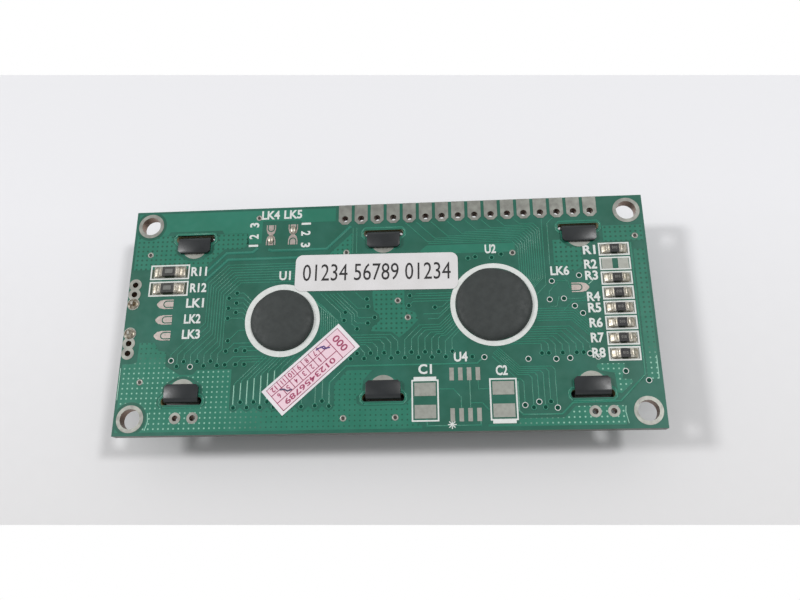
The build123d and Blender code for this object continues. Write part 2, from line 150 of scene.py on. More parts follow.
@dataclass(frozen=True)
class Finish:
    """A surface as its process leaves it: two near tones in patches, a fine grain and its gloss."""

    name: str
    tone: str
    second: str
    patch: float
    rough: Point
    grain: float
    relief: float
    metallic: float = 0.0
    ior: float = 1.5
    transmission: float = 0.0
    patch_edges: Point = (0.36, 0.64)
    gloss_edges: Point = (0.3, 0.7)
    gloss_grain: float = 0.4

    def patches(self, tree: Tree, at: Socket, size: float) -> Socket:
        """Soft patches from 0 to 1.

        Args:
            tree: the material's tree.
            at: the place on the piece.
            size: how wide a patch is, in millimetres.

        Returns:
            The patches' value.
        """
        noise = add(tree, "ShaderNodeTexNoise", {"Vector": at, "Scale": 1 / (size * MM), "Detail": 3.0})
        low, high = self.patch_edges
        return add(tree, "ShaderNodeMapRange", {"Value": noise, "From Min": low, "From Max": high})

    def paint(self, tree: Tree, at: Socket) -> Socket:
        """The colour over the piece.

        Args:
            tree: the material's tree.
            at: the place on the piece.

        Returns:
            The colour.
        """
        tones = {0: self.patches(tree, at, self.patch), 6: linear(self.tone), 7: linear(self.second)}
        return add(tree, "ShaderNodeMix", tones, data_type="RGBA", out=2)

    def metal(self, tree: Tree, at: Socket) -> Socket | float:
        """How far the surface is bare metal: the same all over, unless a finish says otherwise."""
        return self.metallic

    def height(self, tree: Tree, at: Socket) -> Socket:
        """The height of the surface's grain, from 0 to 1."""
        return add(tree, "ShaderNodeTexNoise", {"Vector": at, "Scale": 1 / (self.grain * MM), "Detail": 4.0})

    def gloss(self, tree: Tree, at: Socket) -> Socket:
        """The roughness over the piece.

        Args:
            tree: the material's tree.
            at: the place on the piece.

        Returns:
            The roughness.
        """
        size = self.gloss_grain / (self.grain * MM)
        noise = add(tree, "ShaderNodeTexNoise", {"Vector": at, "Scale": size, "Detail": 2.0})
        spread = {"Value": noise, "From Min": self.gloss_edges[0], "From Max": self.gloss_edges[1]}
        spread.update({"To Min": self.rough[0], "To Max": self.rough[1]})
        return add(tree, "ShaderNodeMapRange", spread)

    def material(self) -> bpy.types.Material:
        """The finish's material, made once and shared.

        Returns:
            The material.
        """
        known = bpy.data.materials.get(self.name)
        if known:
            return known
        material = bpy.data.materials.new(self.name)
        material.use_nodes = True
        tree = material.node_tree
        tree.nodes.clear()
        at = add(tree, "ShaderNodeTexCoord", out="Object")
        bump = {"Height": self.height(tree, at), "Distance": self.relief * MM, "Strength": 1.0}
        surface = {
            "Base Color": self.paint(tree, at),
            "Metallic": self.metal(tree, at),
            "Roughness": self.gloss(tree, at),
            "IOR": self.ior,
            "Transmission Weight": self.transmission,
            "Normal": add(tree, "ShaderNodeBump", bump),
        }
        shader = add(tree, "ShaderNodeBsdfPrincipled", surface)
        add(tree, "ShaderNodeOutputMaterial", {"Surface": shader}, out=None)
        return material

    def cover(self, mesh: Mesh) -> None:
        """Give a mesh this finish alone."""
        mesh.materials.clear()
        mesh.materials.append(self.material())

    def dress(self, *nodes: str) -> None:
        """Give solids that stay as they are packed this finish.

        Args:
            nodes: the names of the solids.
        """
        for name in nodes:
            self.cover(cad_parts[name].data)
            log.info("%s: dressed in %s", name, self.name)


@dataclass(frozen=True)
class Piece:
    """A piece of the scene: its name, its slot in the record, its finish and the solids it stands for."""

    name: str
    slot: str
    finish: Finish
    stands_for: tuple[str, ...] = ()

    def seat(self, mesh: Mesh) -> None:
        """Put the piece on the module's one body.

        Args:
            mesh: its dressed mesh, with its place in its vertices.
        """
        piece = put(self.name, mesh)
        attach(piece, "root")
        if self.stands_for:
            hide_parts(*self.stands_for)
        log.info("%s: %d faces", self.name, len(mesh.polygons))

    def seat_work(self, work: bmesh.types.BMesh) -> None:
        """Make a mesh of finished work, dress it and seat it.

        Args:
            work: the work, which is freed.
        """
        mesh = bpy.data.meshes.new(self.name)
        work.to_mesh(mesh)
        work.free()
        self.finish.cover(mesh)
        self.seat(mesh)


@dataclass(frozen=True)
class BoardFinish(Finish):
    """The board: solder mask on its faces, tin on pads and in holes, bare glass fibre on its edges, painted
    light on the walls of its slots.
    """

    tin: str = "989892"
    bright_tin: str = "a9aba3"
    # Painted light: a warm brown in place of tin on the walls of the holes, for the dim light seen down them
    barrel: str = "8d7668"
    fibre: str = "2d2c1b"
    # Painted light: the walls of the slots are much lighter than the bare edge, for light that shines through
    # the glass fibre
    slot_wall_painted_light: str = "a8a074"
    wear: float = 0.9
    upright: float = 0.5
    mask_top: float = 8.805
    mask_bottom: float = 7.195
    half_length: float = 39.93
    half_width: float = 17.93
    slot_reach: float = 0.8

    def zones(self, tree: Tree, at: Socket) -> tuple[Socket, ...]:
        """Where the board is tinned, where its bare side shows, and where a hole's wall is.

        Args:
            tree: the material's tree.
            at: the place on the board.

        Returns:
            The shares of tin, of bare side, of a slot's wall and of a hole's wall.
        """
        place = add(tree, "ShaderNodeSeparateXYZ", {0: at}, out=None)
        normal = add(tree, "ShaderNodeNewGeometry", out="Normal")
        up = add(tree, "ShaderNodeSeparateXYZ", {0: normal}, out=2)
        steep = add(tree, "ShaderNodeMath", {0: up, 1: 0.0, 2: self.upright}, operation="COMPARE")
        across, along = (add(tree, "ShaderNodeMath", {0: place[k]}, operation="ABSOLUTE") for k in (0, 1))
        far, wide, above, below = (
            add(tree, "ShaderNodeMath", {0: way, 1: edge * MM}, operation=test)
            for way, edge, test in (
                (across, self.half_length, "GREATER_THAN"),
                (along, self.half_width, "GREATER_THAN"),
                (place[2], self.mask_top, "GREATER_THAN"),
                (place[2], self.mask_bottom, "LESS_THAN"),
            )
        )
        band = {0: along, 1: SLOT_Y * MM, 2: self.slot_reach * MM}
        slot = add(tree, "ShaderNodeMath", band, operation="COMPARE")
        rim = add(tree, "ShaderNodeMath", {0: far, 1: wide}, operation="MAXIMUM")
        bare = add(tree, "ShaderNodeMath", {0: rim, 1: slot}, operation="MAXIMUM")
        side = add(tree, "ShaderNodeMath", {0: bare, 1: steep}, operation="MULTIPLY")
        within = add(tree, "ShaderNodeMath", {0: slot, 1: rim}, operation="SUBTRACT", use_clamp=True)
        inner = add(tree, "ShaderNodeMath", {0: within, 1: steep}, operation="MULTIPLY")
        barrel = add(tree, "ShaderNodeMath", {0: steep, 1: bare}, operation="SUBTRACT", use_clamp=True)
        pads = add(tree, "ShaderNodeMath", {0: above, 1: below}, operation="MAXIMUM")
        tin = add(tree, "ShaderNodeMath", {0: pads, 1: barrel}, operation="MAXIMUM")
        return tin, side, inner, barrel

    def paint(self, tree: Tree, at: Socket) -> Socket:
        """The colour over the board: mask, bare side, slot walls in painted light, hole walls in painted
        brown, and tin.

        Args:
            tree: the material's tree.
            at: the place on the board.

        Returns:
            The colour.
        """
        tin, side, inner, barrel = self.zones(tree, at)
        worn = {0: self.patches(tree, at, self.wear), 6: linear(self.tin), 7: linear(self.bright_tin)}
        flat = add(tree, "ShaderNodeMix", worn, data_type="RGBA", out=2)
        # The walls of the holes take their painted brown
        plated = {0: barrel, 6: flat, 7: linear(self.barrel)}
        plate = add(tree, "ShaderNodeMix", plated, data_type="RGBA", out=2)
        colour = super().paint(tree, at)
        # The slot walls take their painted light here
        for share, over in ((side, linear(self.fibre)), (inner, linear(self.slot_wall_painted_light)), (tin, plate)):
            colour = add(tree, "ShaderNodeMix", {0: share, 6: colour, 7: over}, data_type="RGBA", out=2)
        return colour

    def metal(self, tree: Tree, at: Socket) -> Socket | float:
        """Metal where the board is tinned."""
        return self.zones(tree, at)[0]


@dataclass(frozen=True)
class PourFinish(Finish):
    """Solder mask over a hatched copper area, whose openings show as rows of dots, with painted glints in
    them towards the near corners.
    """

    dot: str = "10533f"
    # Painted glint: a lighter tone for the dots, and the spans over which it fades in
    painted_glint_dot: str = "155c49"
    glint_across: Point = (17.0, 26.0)
    glint_along: Point = (-6.0, -8.5)
    pitch: float = 0.762
    phase: Point = (0.10, 0.17)
    radius: float = 0.16
    dot_edges: Point = (0.8, 1.25)
    ring_at: Point = (37.5, 15.5)
    clearance: float = 2.5
    laminate: str = "145a48"

    def paint(self, tree: Tree, at: Socket) -> Socket:
        """The mask over copper, with the dots of the hatching, their painted glints, and the gap round a
        mounting ring.

        Args:
            tree: the material's tree.
            at: the place on the board.

        Returns:
            The colour.
        """
        step = 1 / (self.pitch * MM)
        scaled = add(tree, "ShaderNodeVectorMath", {0: at, 1: (step, step, 0.0)}, operation="MULTIPLY")
        shifted = add(tree, "ShaderNodeVectorMath", {0: scaled, 1: (*self.phase, 0.0)}, operation="SUBTRACT")
        cell = add(tree, "ShaderNodeVectorMath", {0: shifted}, operation="FRACTION")
        centred = {0: cell, 1: (0.5, 0.5, 0.0)}
        away = add(tree, "ShaderNodeVectorMath", centred, operation="DISTANCE", out="Value")
        inner, outer = (self.radius / self.pitch * share for share in self.dot_edges)
        soft = {"Value": away, "From Min": inner, "From Max": outer, "To Min": 1.0, "To Max": 0.0}
        dots = add(tree, "ShaderNodeMapRange", soft)
        mirrored = add(tree, "ShaderNodeVectorMath", {0: at}, operation="ABSOLUTE")
        across = add(tree, "ShaderNodeSeparateXYZ", {0: mirrored})
        along = add(tree, "ShaderNodeSeparateXYZ", {0: at}, out=1)
        # Painted glint: the dots turn lighter towards the near corners, for the light that they catch there
        glint_share = None
        for place, (start, end) in ((across, self.glint_across), (along, self.glint_along)):
            span = {"Value": place, "From Min": start * MM, "From Max": end * MM}
            share = add(tree, "ShaderNodeMapRange", span)
            glint_share = add(tree, "ShaderNodeMath", {0: share, 1: glint_share or 1.0}, operation="MULTIPLY")
        tones = {0: glint_share, 6: linear(self.dot), 7: linear(self.painted_glint_dot)}
        opening = add(tree, "ShaderNodeMix", tones, data_type="RGBA", out=2)
        dotted = {0: dots, 6: super().paint(tree, at), 7: opening}
        area = add(tree, "ShaderNodeMix", dotted, data_type="RGBA", out=2)
        level = add(tree, "ShaderNodeVectorMath", {0: mirrored, 1: (1.0, 1.0, 0.0)}, operation="MULTIPLY")
        corner = {0: level, 1: (self.ring_at[0] * MM, self.ring_at[1] * MM, 0.0)}
        gap = add(tree, "ShaderNodeVectorMath", corner, operation="DISTANCE", out="Value")
        near = add(tree, "ShaderNodeMath", {0: gap, 1: self.clearance * MM}, operation="LESS_THAN")
        ringed = {0: near, 6: area, 7: linear(self.laminate)}
        return add(tree, "ShaderNodeMix", ringed, data_type="RGBA", out=2)


@dataclass(frozen=True)
class ChipFinish(Finish):
    """A chip resistor: a dark glazed body between two tinned ends."""

    middle: float = 0.0
    half_body: float = 0.7
    end_tone: str = "b4b0a6"

    def ends(self, tree: Tree, at: Socket) -> Socket:
        """The share of tinned end: 1 outside the body's band.

        Args:
            tree: the material's tree.
            at: the place on the board.

        Returns:
            The share.
        """
        place = add(tree, "ShaderNodeSeparateXYZ", {0: at})
        band = {0: place, 1: self.middle * MM, 2: self.half_body * MM}
        body = add(tree, "ShaderNodeMath", band, operation="COMPARE")
        return add(tree, "ShaderNodeMath", {0: 1.0, 1: body}, operation="SUBTRACT")

    def paint(self, tree: Tree, at: Socket) -> Socket:
        """The dark body and its tinned ends."""
        tones = {0: self.ends(tree, at), 6: super().paint(tree, at), 7: linear(self.end_tone)}
        return add(tree, "ShaderNodeMix", tones, data_type="RGBA", out=2)

    def metal(self, tree: Tree, at: Socket) -> Socket | float:
        """Metal on the two ends."""
        return self.ends(tree, at)


@dataclass(frozen=True)
class CellFinish(Finish):
    """The polariser of a blank display: sixteen by two places of five by eight faint dots."""

    places: tuple[int, int] = (16, 2)
    cell: Point = (3.55, 5.94)
    dot: Point = (0.60, 0.70)
    dots: tuple[int, int] = (5, 8)
    half_dot: float = 0.45
    faint: str = "76805a"

    def paint(self, tree: Tree, at: Socket) -> Socket:
        """The film, and the dots of its character places, a little darker than it.

        Args:
            tree: the material's tree.
            at: the place on the film.

        Returns:
            The colour.
        """
        place = add(tree, "ShaderNodeSeparateXYZ", {0: at}, out=None)
        inside = None
        for axis in range(2):
            cell, dot = self.cell[axis], self.dot[axis]
            reach = self.places[axis] * cell / 2
            margin = (cell - self.dots[axis] * dot) / 2
            from_edge = add(tree, "ShaderNodeMath", {0: place[axis], 1: reach * MM}, operation="ADD")
            in_cell = add(tree, "ShaderNodeMath", {0: from_edge, 1: cell * MM}, operation="FLOORED_MODULO")
            shifted = add(tree, "ShaderNodeMath", {0: in_cell, 1: margin * MM}, operation="SUBTRACT")
            in_dot = add(tree, "ShaderNodeMath", {0: shifted, 1: dot * MM}, operation="FLOORED_MODULO")
            for value, middle, half in (
                (in_cell, cell / 2, cell / 2 - margin),
                (in_dot, dot / 2, dot * self.half_dot),
                (place[axis], 0.0, reach),
            ):
                band = {0: value, 1: middle * MM, 2: half * MM}
                share = add(tree, "ShaderNodeMath", band, operation="COMPARE")
                inside = add(tree, "ShaderNodeMath", {0: share, 1: inside or 1.0}, operation="MULTIPLY")
        tones = {0: inside, 6: super().paint(tree, at), 7: linear(self.faint)}
        return add(tree, "ShaderNodeMix", tones, data_type="RGBA", out=2)


@dataclass(frozen=True)
class TableFinish(Finish):
    """A pale table, with painted shade that darkens it a little towards the near edge."""

    near: float = -48.0
    far: float = 22.0

    def paint(self, tree: Tree, at: Socket) -> Socket:
        """The table's colour, with painted shade from its near to its far side.

        Args:
            tree: the material's tree.
            at: the place on the table.

        Returns:
            The colour.
        """
        place = add(tree, "ShaderNodeSeparateXYZ", {0: at}, out=1)
        spread = {"Value": place, "From Min": self.near * MM, "From Max": self.far * MM}
        share = add(tree, "ShaderNodeMapRange", spread)
        tones = {0: share, 6: linear(self.tone), 7: linear(self.second)}
        return add(tree, "ShaderNodeMix", tones, data_type="RGBA", out=2)


@dataclass(frozen=True)
class StickerFinish(Finish):
    """A printed sticker: a pale ground inside a white margin, laid at an angle."""

    middle: Point = STICKER_AT
    size: Point = (15.15, 4.85)
    turn: float = STICKER_TURN
    margin: float = 0.55
    ground: str = "e9cbd6"

    def paint(self, tree: Tree, at: Socket) -> Socket:
        """The ground inside its margin.

        Args:
            tree: the material's tree.
            at: the place on the board.

        Returns:
            The colour.
        """
        centre = (self.middle[0] * MM, self.middle[1] * MM, 0.0)
        moved = add(tree, "ShaderNodeVectorMath", {0: at, 1: centre}, operation="SUBTRACT")
        turned = {0: moved, "Angle": -math.radians(self.turn)}
        level = add(tree, "ShaderNodeVectorRotate", turned, rotation_type="Z_AXIS")
        place = add(tree, "ShaderNodeSeparateXYZ", {0: level}, out=None)
        halves = [(size / 2 - self.margin) * MM for size in self.size]
        first, second = (
            add(tree, "ShaderNodeMath", {0: way, 1: 0.0, 2: half}, operation="COMPARE")
            for way, half in zip(place, halves)
        )
        inside = add(tree, "ShaderNodeMath", {0: first, 1: second}, operation="MULTIPLY")
        tones = {0: inside, 6: super().paint(tree, at), 7: linear(self.ground)}
        return add(tree, "ShaderNodeMix", tones, data_type="RGBA", out=2)


# Mask over bare laminate lets the dark glass fibre through, so it looks deeper than over copper
BOARD = BoardFinish("green_mask_board", "145a48", "1a6352", 6.0, (0.30, 0.42), 0.6, 0.004)
# Mask over copper reflects through the coat, so it is lighter and bluer
POUR = PourFinish("mask_over_copper", "1c705a", "217661", 5.0, (0.28, 0.40), 0.5, 0.004, radius=0.0)
DARK_POUR = PourFinish("mask_over_hatched_copper", "1c705a", "217661", 5.0, (0.28, 0.40), 0.5, 0.004)
# Towards the near corners the openings of the hatching carry painted glints: lighter dots for the light that
# they catch
NEAR_POUR = PourFinish(
    "mask_over_hatched_copper_painted_glints", "1b6f59", "20755f", 5.0, (0.28, 0.40), 0.5, 0.004,
    painted_glint_dot="8fbfab", radius=0.12,
)
# A track under the mask is a fine raised line, a little lighter than its ground
TRACK = Finish("mask_over_tracks", "24765f", "297c66", 3.0, (0.25, 0.38), 0.4, 0.003)
# A broad track reads as a strip of the same copper, flatter and bluer
WIDE_TRACK = Finish("mask_over_broad_tracks", "207360", "267966", 3.0, (0.28, 0.40), 0.5, 0.003)
# Painted highlight: a pale strip on the shoulder of a track or of a copper edge, where it catches the light
EDGE_GLINT = Finish("painted_glint_on_copper_edge", "8fc4ae", "a3d2be", 1.0, (0.25, 0.38), 0.4, 0.003)
# Tin plating that has dulled in air: a neutral grey, neither mirror nor matt
TIN = Finish("dull_tin_plate", "9b9c95", "a3a59e", 0.9, (0.42, 0.58), 0.15, 0.004, metallic=1.0)
# Tin under the links kept its fresh, slightly rosy tone
LINK_TIN = Finish("fresh_link_tin", "b4a8a2", "beb3ad", 0.7, (0.36, 0.50), 0.15, 0.004, metallic=1.0)
# Solder freezes with a bright skin that is faintly rippled
SOLDER = Finish("bright_solder", "8f8878", "b9b3a8", 0.45, (0.32, 0.45), 0.25, 0.005, metallic=1.0)
# Hand-laid solder keeps brown islands of burnt flux
FLUXED_SOLDER = Finish("flux_stained_solder", "b0aa9c", "5a4a36", 0.5, (0.26, 0.42), 0.3, 0.006, metallic=0.9)
# Painted shade: a dark olive film on the mask round and under each chip, where the shade of its body falls
CHIP_SHADE = Finish("painted_shade_round_chips", "33402f", "3e4a39", 0.6, (0.30, 0.45), 0.2, 0.003)
# Black glaze over the resistive film of a chip, between its two tinned ends
SMALL_CHIP = ChipFinish(
    "small_chip_resistor", "2a2a2b", "333232", 0.8, (0.22, 0.35), 0.1, 0.003,
    middle=SMALL_CHIP_X, half_body=0.7,
)
LARGE_CHIP = ChipFinish(
    "large_chip_resistor", "3b3b3a", "454543", 0.8, (0.25, 0.38), 0.1, 0.003,
    middle=LARGE_CHIP_X, half_body=1.025,
)
# Painted highlight: a pale patch on top of each large chip, for the bright reflection on its glaze
CHIP_HIGHLIGHT = Finish("painted_chip_highlight", "6c6d6a", "767773", 0.6, (0.25, 0.38), 0.1, 0.002)
# Printed value of a chip: a soft grey that barely leaves the glaze
CHIP_PRINT = Finish("grey_chip_print", "85847f", "908f8a", 0.4, (0.40, 0.55), 0.1, 0.001)
# Stoved black lacquer on steel sheet: deep, with soft highlights at the folds
LACQUER = Finish("black_stoved_lacquer", "15191c", "1c2023", 2.0, (0.30, 0.44), 0.9, 0.010)
# Drop of black epoxy over a bare chip: matt charcoal with a faint cloudy surface
EPOXY = Finish("matt_black_epoxy", "282d2c", "2f3433", 1.2, (0.55, 0.70), 0.25, 0.010)
# Screen-printed ink stands a little rough and lets some green through
INK = Finish("white_print_ink", "d3d6d3", "dcdfdc", 0.5, (0.50, 0.65), 0.12, 0.003)
# Coated label paper, smooth and slightly warm
PAPER = Finish("white_label_paper", "d5d3d3", "dcdadb", 4.0, (0.50, 0.62), 0.10, 0.003)
# Label print: a dense black without gloss
BLACK_PRINT = Finish("black_label_print", "161315", "1e1a1c", 0.5, (0.45, 0.60), 0.10, 0.002)
# Coated sticker paper: a pale tinted ground that takes a soft sheen
STICKER = StickerFinish("printed_sticker_paper", "dedade", "e6e2e5", 3.0, (0.50, 0.62), 0.10, 0.003)
# Dark red sticker ink: flat, sunk in the coating
RED_PRINT = Finish("dark_red_sticker_print", "96395c", "a5496a", 0.5, (0.50, 0.62), 0.10, 0.002)
# Felt pen: violet strokes with a faint shine where the ink is thick
PEN = Finish("violet_pen_mark", "4a3372", "5d4784", 0.4, (0.40, 0.55), 0.10, 0.002)
# Felt pen over the white margin: a greyer violet
DARK_PEN = Finish("dark_pen_mark", "4e4160", "5c4f6c", 0.4, (0.40, 0.55), 0.10, 0.002)
# Float glass: clear, smooth and faintly green
GLASS = Finish("float_glass", "dfe6e2", "e4ebe7", 8.0, (0.03, 0.06), 0.5, 0.001, ior=1.52, transmission=0.9)
# Polariser over blank cells: a satin yellow-green film with faint dots
FRONT_FILM = CellFinish("yellow_green_polariser", "7f8962", "838e66", 12.0, (0.16, 0.24), 0.3, 0.002)
# Rear polariser: a plain film, a little darker than the front one
REAR_FILM = Finish("rear_polariser_film", "6f7660", "757c66", 12.0, (0.20, 0.30), 0.3, 0.002)
# Cured seal glue: cloudy and slightly yellow
GLUE = Finish("clear_seal_glue", "cfc9a8", "d8d2b2", 1.0, (0.25, 0.35), 0.3, 0.008, transmission=0.3)
# Moulded polycarbonate, filled white to reflect: even and satin
WHITE_PLASTIC = Finish("moulded_white_polycarbonate", "dddcd6", "e6e5df", 6.0, (0.38, 0.50), 0.10, 0.004)
# Polished acrylic: clear, with a cool edge
GUIDE = Finish(
    "clear_acrylic_guide", "dfe8ea", "e6eef0", 8.0, (0.05, 0.10), 0.4, 0.001, ior=1.49, transmission=0.9
)
# Phosphor resin of the lamps: a soft yellow
LAMP = Finish("yellow_lamp_resin", "d8cf9a", "e2d9a6", 0.6, (0.25, 0.35), 0.2, 0.004)
# Hot-tinned flat lead: bright, with soft patches of tone
LEAD = Finish("tinned_lead_wire", "a8a49c", "b9b5ad", 0.5, (0.25, 0.40), 0.12, 0.005, metallic=1.0)
# Silicone rubber with conducting bands: matt and dusty pink
RUBBER = Finish("pink_banded_elastomer", "b98f8a", "c79d97", 1.0, (0.60, 0.75), 0.10, 0.006)
# Lapped silicon: a dark mirror with a violet cast
SILICON = Finish("polished_silicon", "4d4a55", "5a5763", 1.0, (0.10, 0.20), 0.3, 0.001, metallic=0.6)
# The inside of a tinned hole, in its own shade
HOLE = Finish("shaded_hole", "2e2a26", "38332e", 0.4, (0.50, 0.65), 0.10, 0.002)
# Mask over a small hole: a dark green dimple, its dark tone painted for the shade in the hole
MASKED_HOLE = Finish("mask_sunk_in_hole", "0c3f32", "104638", 0.4, (0.50, 0.65), 0.10, 0.002, ior=1.15)
# Matt white laminate: it scatters the light, and a painted shade darkens it towards the near edge
TABLE = TableFinish("matt_white_table", "dcdbdb", "ebebee", 60.0, (0.60, 0.75), 0.8, 0.004)


@dataclass
class Growth:
    """Geometry Nodes trees for what follows a line or repeats at points."""

    strip_thickness: float = 0.02
    strip_step: float = 0.0006
    strip_steps: int = 9
    ring_thickness: float = 0.03
    spot_sides: int = 10
    spot_share: float = 0.9
    ring_sides: int = 20
    hole_sides: int = 12

    def __post_init__(self) -> None:
        """Build each tree once."""
        self.stroke = self.stroke_tree()
        self.eyelet = self.eyelet_tree()

    def fresh(self, name: str, sizes: Sequence[str], surfaces: Sequence[str]) -> tuple[Tree, list[Socket]]:
        """Start a tree with its named inputs.

        Args:
            name: the tree's name.
            sizes: the names of its sizes.
            surfaces: the names of its materials.

        Returns:
            The tree, and the sockets of its mesh, its sizes and its materials.
        """
        tree = bpy.data.node_groups.new(name, "GeometryNodeTree")
        kinds = {"Mesh": "Geometry", **dict.fromkeys(sizes, "Float"), **dict.fromkeys(surfaces, "Material")}
        for label, kind in kinds.items():
            tree.interface.new_socket(name=label, in_out="INPUT", socket_type=f"NodeSocket{kind}")
        tree.interface.new_socket(name="Mesh", in_out="OUTPUT", socket_type="NodeSocketGeometry")
        return tree, list(add(tree, "NodeGroupInput", out=None))[: len(kinds)]

    def stroke_tree(self) -> Tree:
        """A flat strip of one width along each line, with a round spot at each of its points.

        Returns:
            The tree, with inputs Width, Thickness and Surface.
        """
        tree, given = self.fresh("strip_along_line", ("Width", "Thickness"), ("Surface",))
        mesh, width, thickness, surface = given
        line = add(tree, "GeometryNodeMeshToCurve", {0: mesh})
        level = add(tree, "GeometryNodeSetCurveNormal", {0: line}, mode="Z_UP")
        section = {"Width": width, "Height": thickness}
        flat = add(tree, "GeometryNodeCurvePrimitiveQuadrilateral", section)
        swept = {"Curve": level, "Profile Curve": flat, "Fill Caps": True}
        strip = add(tree, "GeometryNodeCurveToMesh", swept)
        half = add(tree, "ShaderNodeMath", {0: width, 1: 0.5}, operation="MULTIPLY")
        thinner = add(tree, "ShaderNodeMath", {0: thickness, 1: self.spot_share}, operation="MULTIPLY")
        sizes = {"Vertices": self.spot_sides, "Radius": half, "Depth": thinner}
        spot = add(tree, "GeometryNodeMeshCylinder", sizes)
        spots = add(tree, "GeometryNodeInstanceOnPoints", {"Points": mesh, "Instance": spot})
        joined = add(tree, "GeometryNodeJoinGeometry", {0: [strip, spots]})
        real = add(tree, "GeometryNodeRealizeInstances", {0: joined})
        done = add(tree, "GeometryNodeSetMaterial", {"Geometry": real, "Material": surface})
        add(tree, "NodeGroupOutput", {0: done}, out=None)
        return tree

    def eyelet_tree(self) -> Tree:
        """A plated ring at each point, with a flat disc in its middle painted dark for the shade in its hole.

        Returns:
            The tree, with inputs Radius, Hole, Thickness, Plate and Shade.
        """
        tree, given = self.fresh("eyelet_at_point", ("Radius", "Hole", "Thickness"), ("Plate", "Shade"))
        mesh, radius, hole, thickness, plate, shade = given
        both = add(tree, "ShaderNodeMath", {0: radius, 1: hole}, operation="ADD")
        middle = add(tree, "ShaderNodeMath", {0: both, 1: 0.5}, operation="MULTIPLY")
        band = add(tree, "ShaderNodeMath", {0: radius, 1: hole}, operation="SUBTRACT")
        circle = {"Resolution": self.ring_sides, "Radius": middle}
        path = add(tree, "GeometryNodeCurvePrimitiveCircle", circle)
        section = add(tree, "GeometryNodeCurvePrimitiveQuadrilateral", {"Width": band, "Height": thickness})
        ring = add(tree, "GeometryNodeCurveToMesh", {"Curve": path, "Profile Curve": section})
        ringed = add(tree, "GeometryNodeSetMaterial", {"Geometry": ring, "Material": plate})
        flat = {"Vertices": self.hole_sides, "Radius": middle}
        disc = add(tree, "GeometryNodeMeshCircle", flat, fill_type="NGON")
        dark = add(tree, "GeometryNodeSetMaterial", {"Geometry": disc, "Material": shade})
        whole = add(tree, "GeometryNodeJoinGeometry", {0: [ringed, dark]})
        placed = add(tree, "GeometryNodeInstanceOnPoints", {"Points": mesh, "Instance": whole})
        real = add(tree, "GeometryNodeRealizeInstances", {0: placed})
        add(tree, "NodeGroupOutput", {0: real}, out=None)
        return tree

    def grow(
        self, tree: Tree, points: list[Place], edges: list[tuple[int, int]], piece: Piece, **inputs: object
    ) -> None:
        """Run a tree over lines or points, and seat what grows there.

        Args:
            tree: one of the trees above.
            points: the points that it starts from, in millimetres.
            edges: the lines between them.
            piece: the piece that it becomes.
            inputs: the tree's inputs by name, sizes in metres.
        """
        seed = bpy.data.meshes.new(piece.name)
        seed.from_pydata([(x * MM, y * MM, z * MM) for x, y, z in points], edges, [])
        source = put(piece.name, seed)
        modifier = source.modifiers.new("growth", "NODES")
        modifier.node_group = tree
        for item in tree.interface.items_tree:
            if item.in_out == "INPUT" and item.name in inputs:
                modifier[item.identifier] = inputs[item.name]
        piece.seat(plain_mesh(source))

    def strips(self, runs: Iterable[Run], level: float, width: float, piece: Piece) -> None:
        """Lay flat strips along runs of points, each a little lower than the one before where they cross.

        Args:
            runs: the runs, in millimetres on the board.
            level: the height of the strips' top.
            width: the strips' width.
            piece: the piece that they become.
        """
        points = []
        edges = []
        for number, run in enumerate(runs):
            first = len(points)
            height = level - self.strip_thickness / 2 - self.strip_step * (number % self.strip_steps)
            points += [(x, y, height) for x, y in run]
            edges += [(first + i, first + i + 1) for i in range(len(run) - 1)]
        sizes = {"Width": width * MM, "Thickness": self.strip_thickness * MM}
        self.grow(self.stroke, points, edges, piece, Surface=piece.finish.material(), **sizes)

    def eyelets(self, spots: Iterable[Point], level: float, size: Point, shade: Finish, piece: Piece) -> None:
        """Set plated rings, each with a flat disc of painted shade for its hole.

        Args:
            spots: their middles, in millimetres on the board.
            level: the height of their middle plane.
            size: the outer radius and the hole's radius.
            shade: the finish in the hole.
            piece: the piece that they become.
        """
        sizes = {"Radius": size[0] * MM, "Hole": size[1] * MM, "Thickness": self.ring_thickness * MM}
        surfaces = {"Plate": piece.finish.material(), "Shade": shade.material()}
        self.grow(self.eyelet, [(x, y, level) for x, y in spots], [], piece, **sizes, **surfaces)


@dataclass(frozen=True)
class Mark:
    """A printed word or number: its text, the middle and size of the box that it fills, and its turn."""

    text: str
    x: float
    y: float
    width: float
    height: float = 1.5
    turn: float = 0.0


def letter(marks: Sequence[Mark], level: float, weight: float, piece: Piece, thickness: float = 0.03) -> None:
    """Print words and numbers as thin raised shapes.

    Args:
        marks: the words and where they go.
        level: the height of the print's top.
        weight: how far the strokes are thickened, as a share of the letters' size.
        piece: the piece that they become.
        thickness: the print's thickness.
    """
    whole = bmesh.new()
    for mark in marks:
        text = bpy.data.curves.new(piece.name, "FONT")
        text.body = mark.text
        text.size = 1.0
        text.offset = weight
        text.extrude = 0.5
        text.resolution_u = 3
        mesh = plain_mesh(put(piece.name, text))
        low, high = ([edge(v.co[k] for v in mesh.vertices) for k in (0, 1)] for edge in (min, max))
        middle = Matrix.Translation((-(low[0] + high[0]) / 2, -(low[1] + high[1]) / 2, -0.5))
        size = (mark.width / (high[0] - low[0]), mark.height / (high[1] - low[1]), thickness)
        scale = Matrix.Diagonal((size[0] * MM, size[1] * MM, size[2] * MM, 1.0))
        turn = Matrix.Rotation(math.radians(mark.turn), 4, "Z")
        place = Matrix.Translation((mark.x * MM, mark.y * MM, level * MM))
        mesh.transform(place @ turn @ scale @ middle)
        whole.from_mesh(mesh)
        bpy.data.meshes.remove(mesh)
    piece.seat_work(whole)


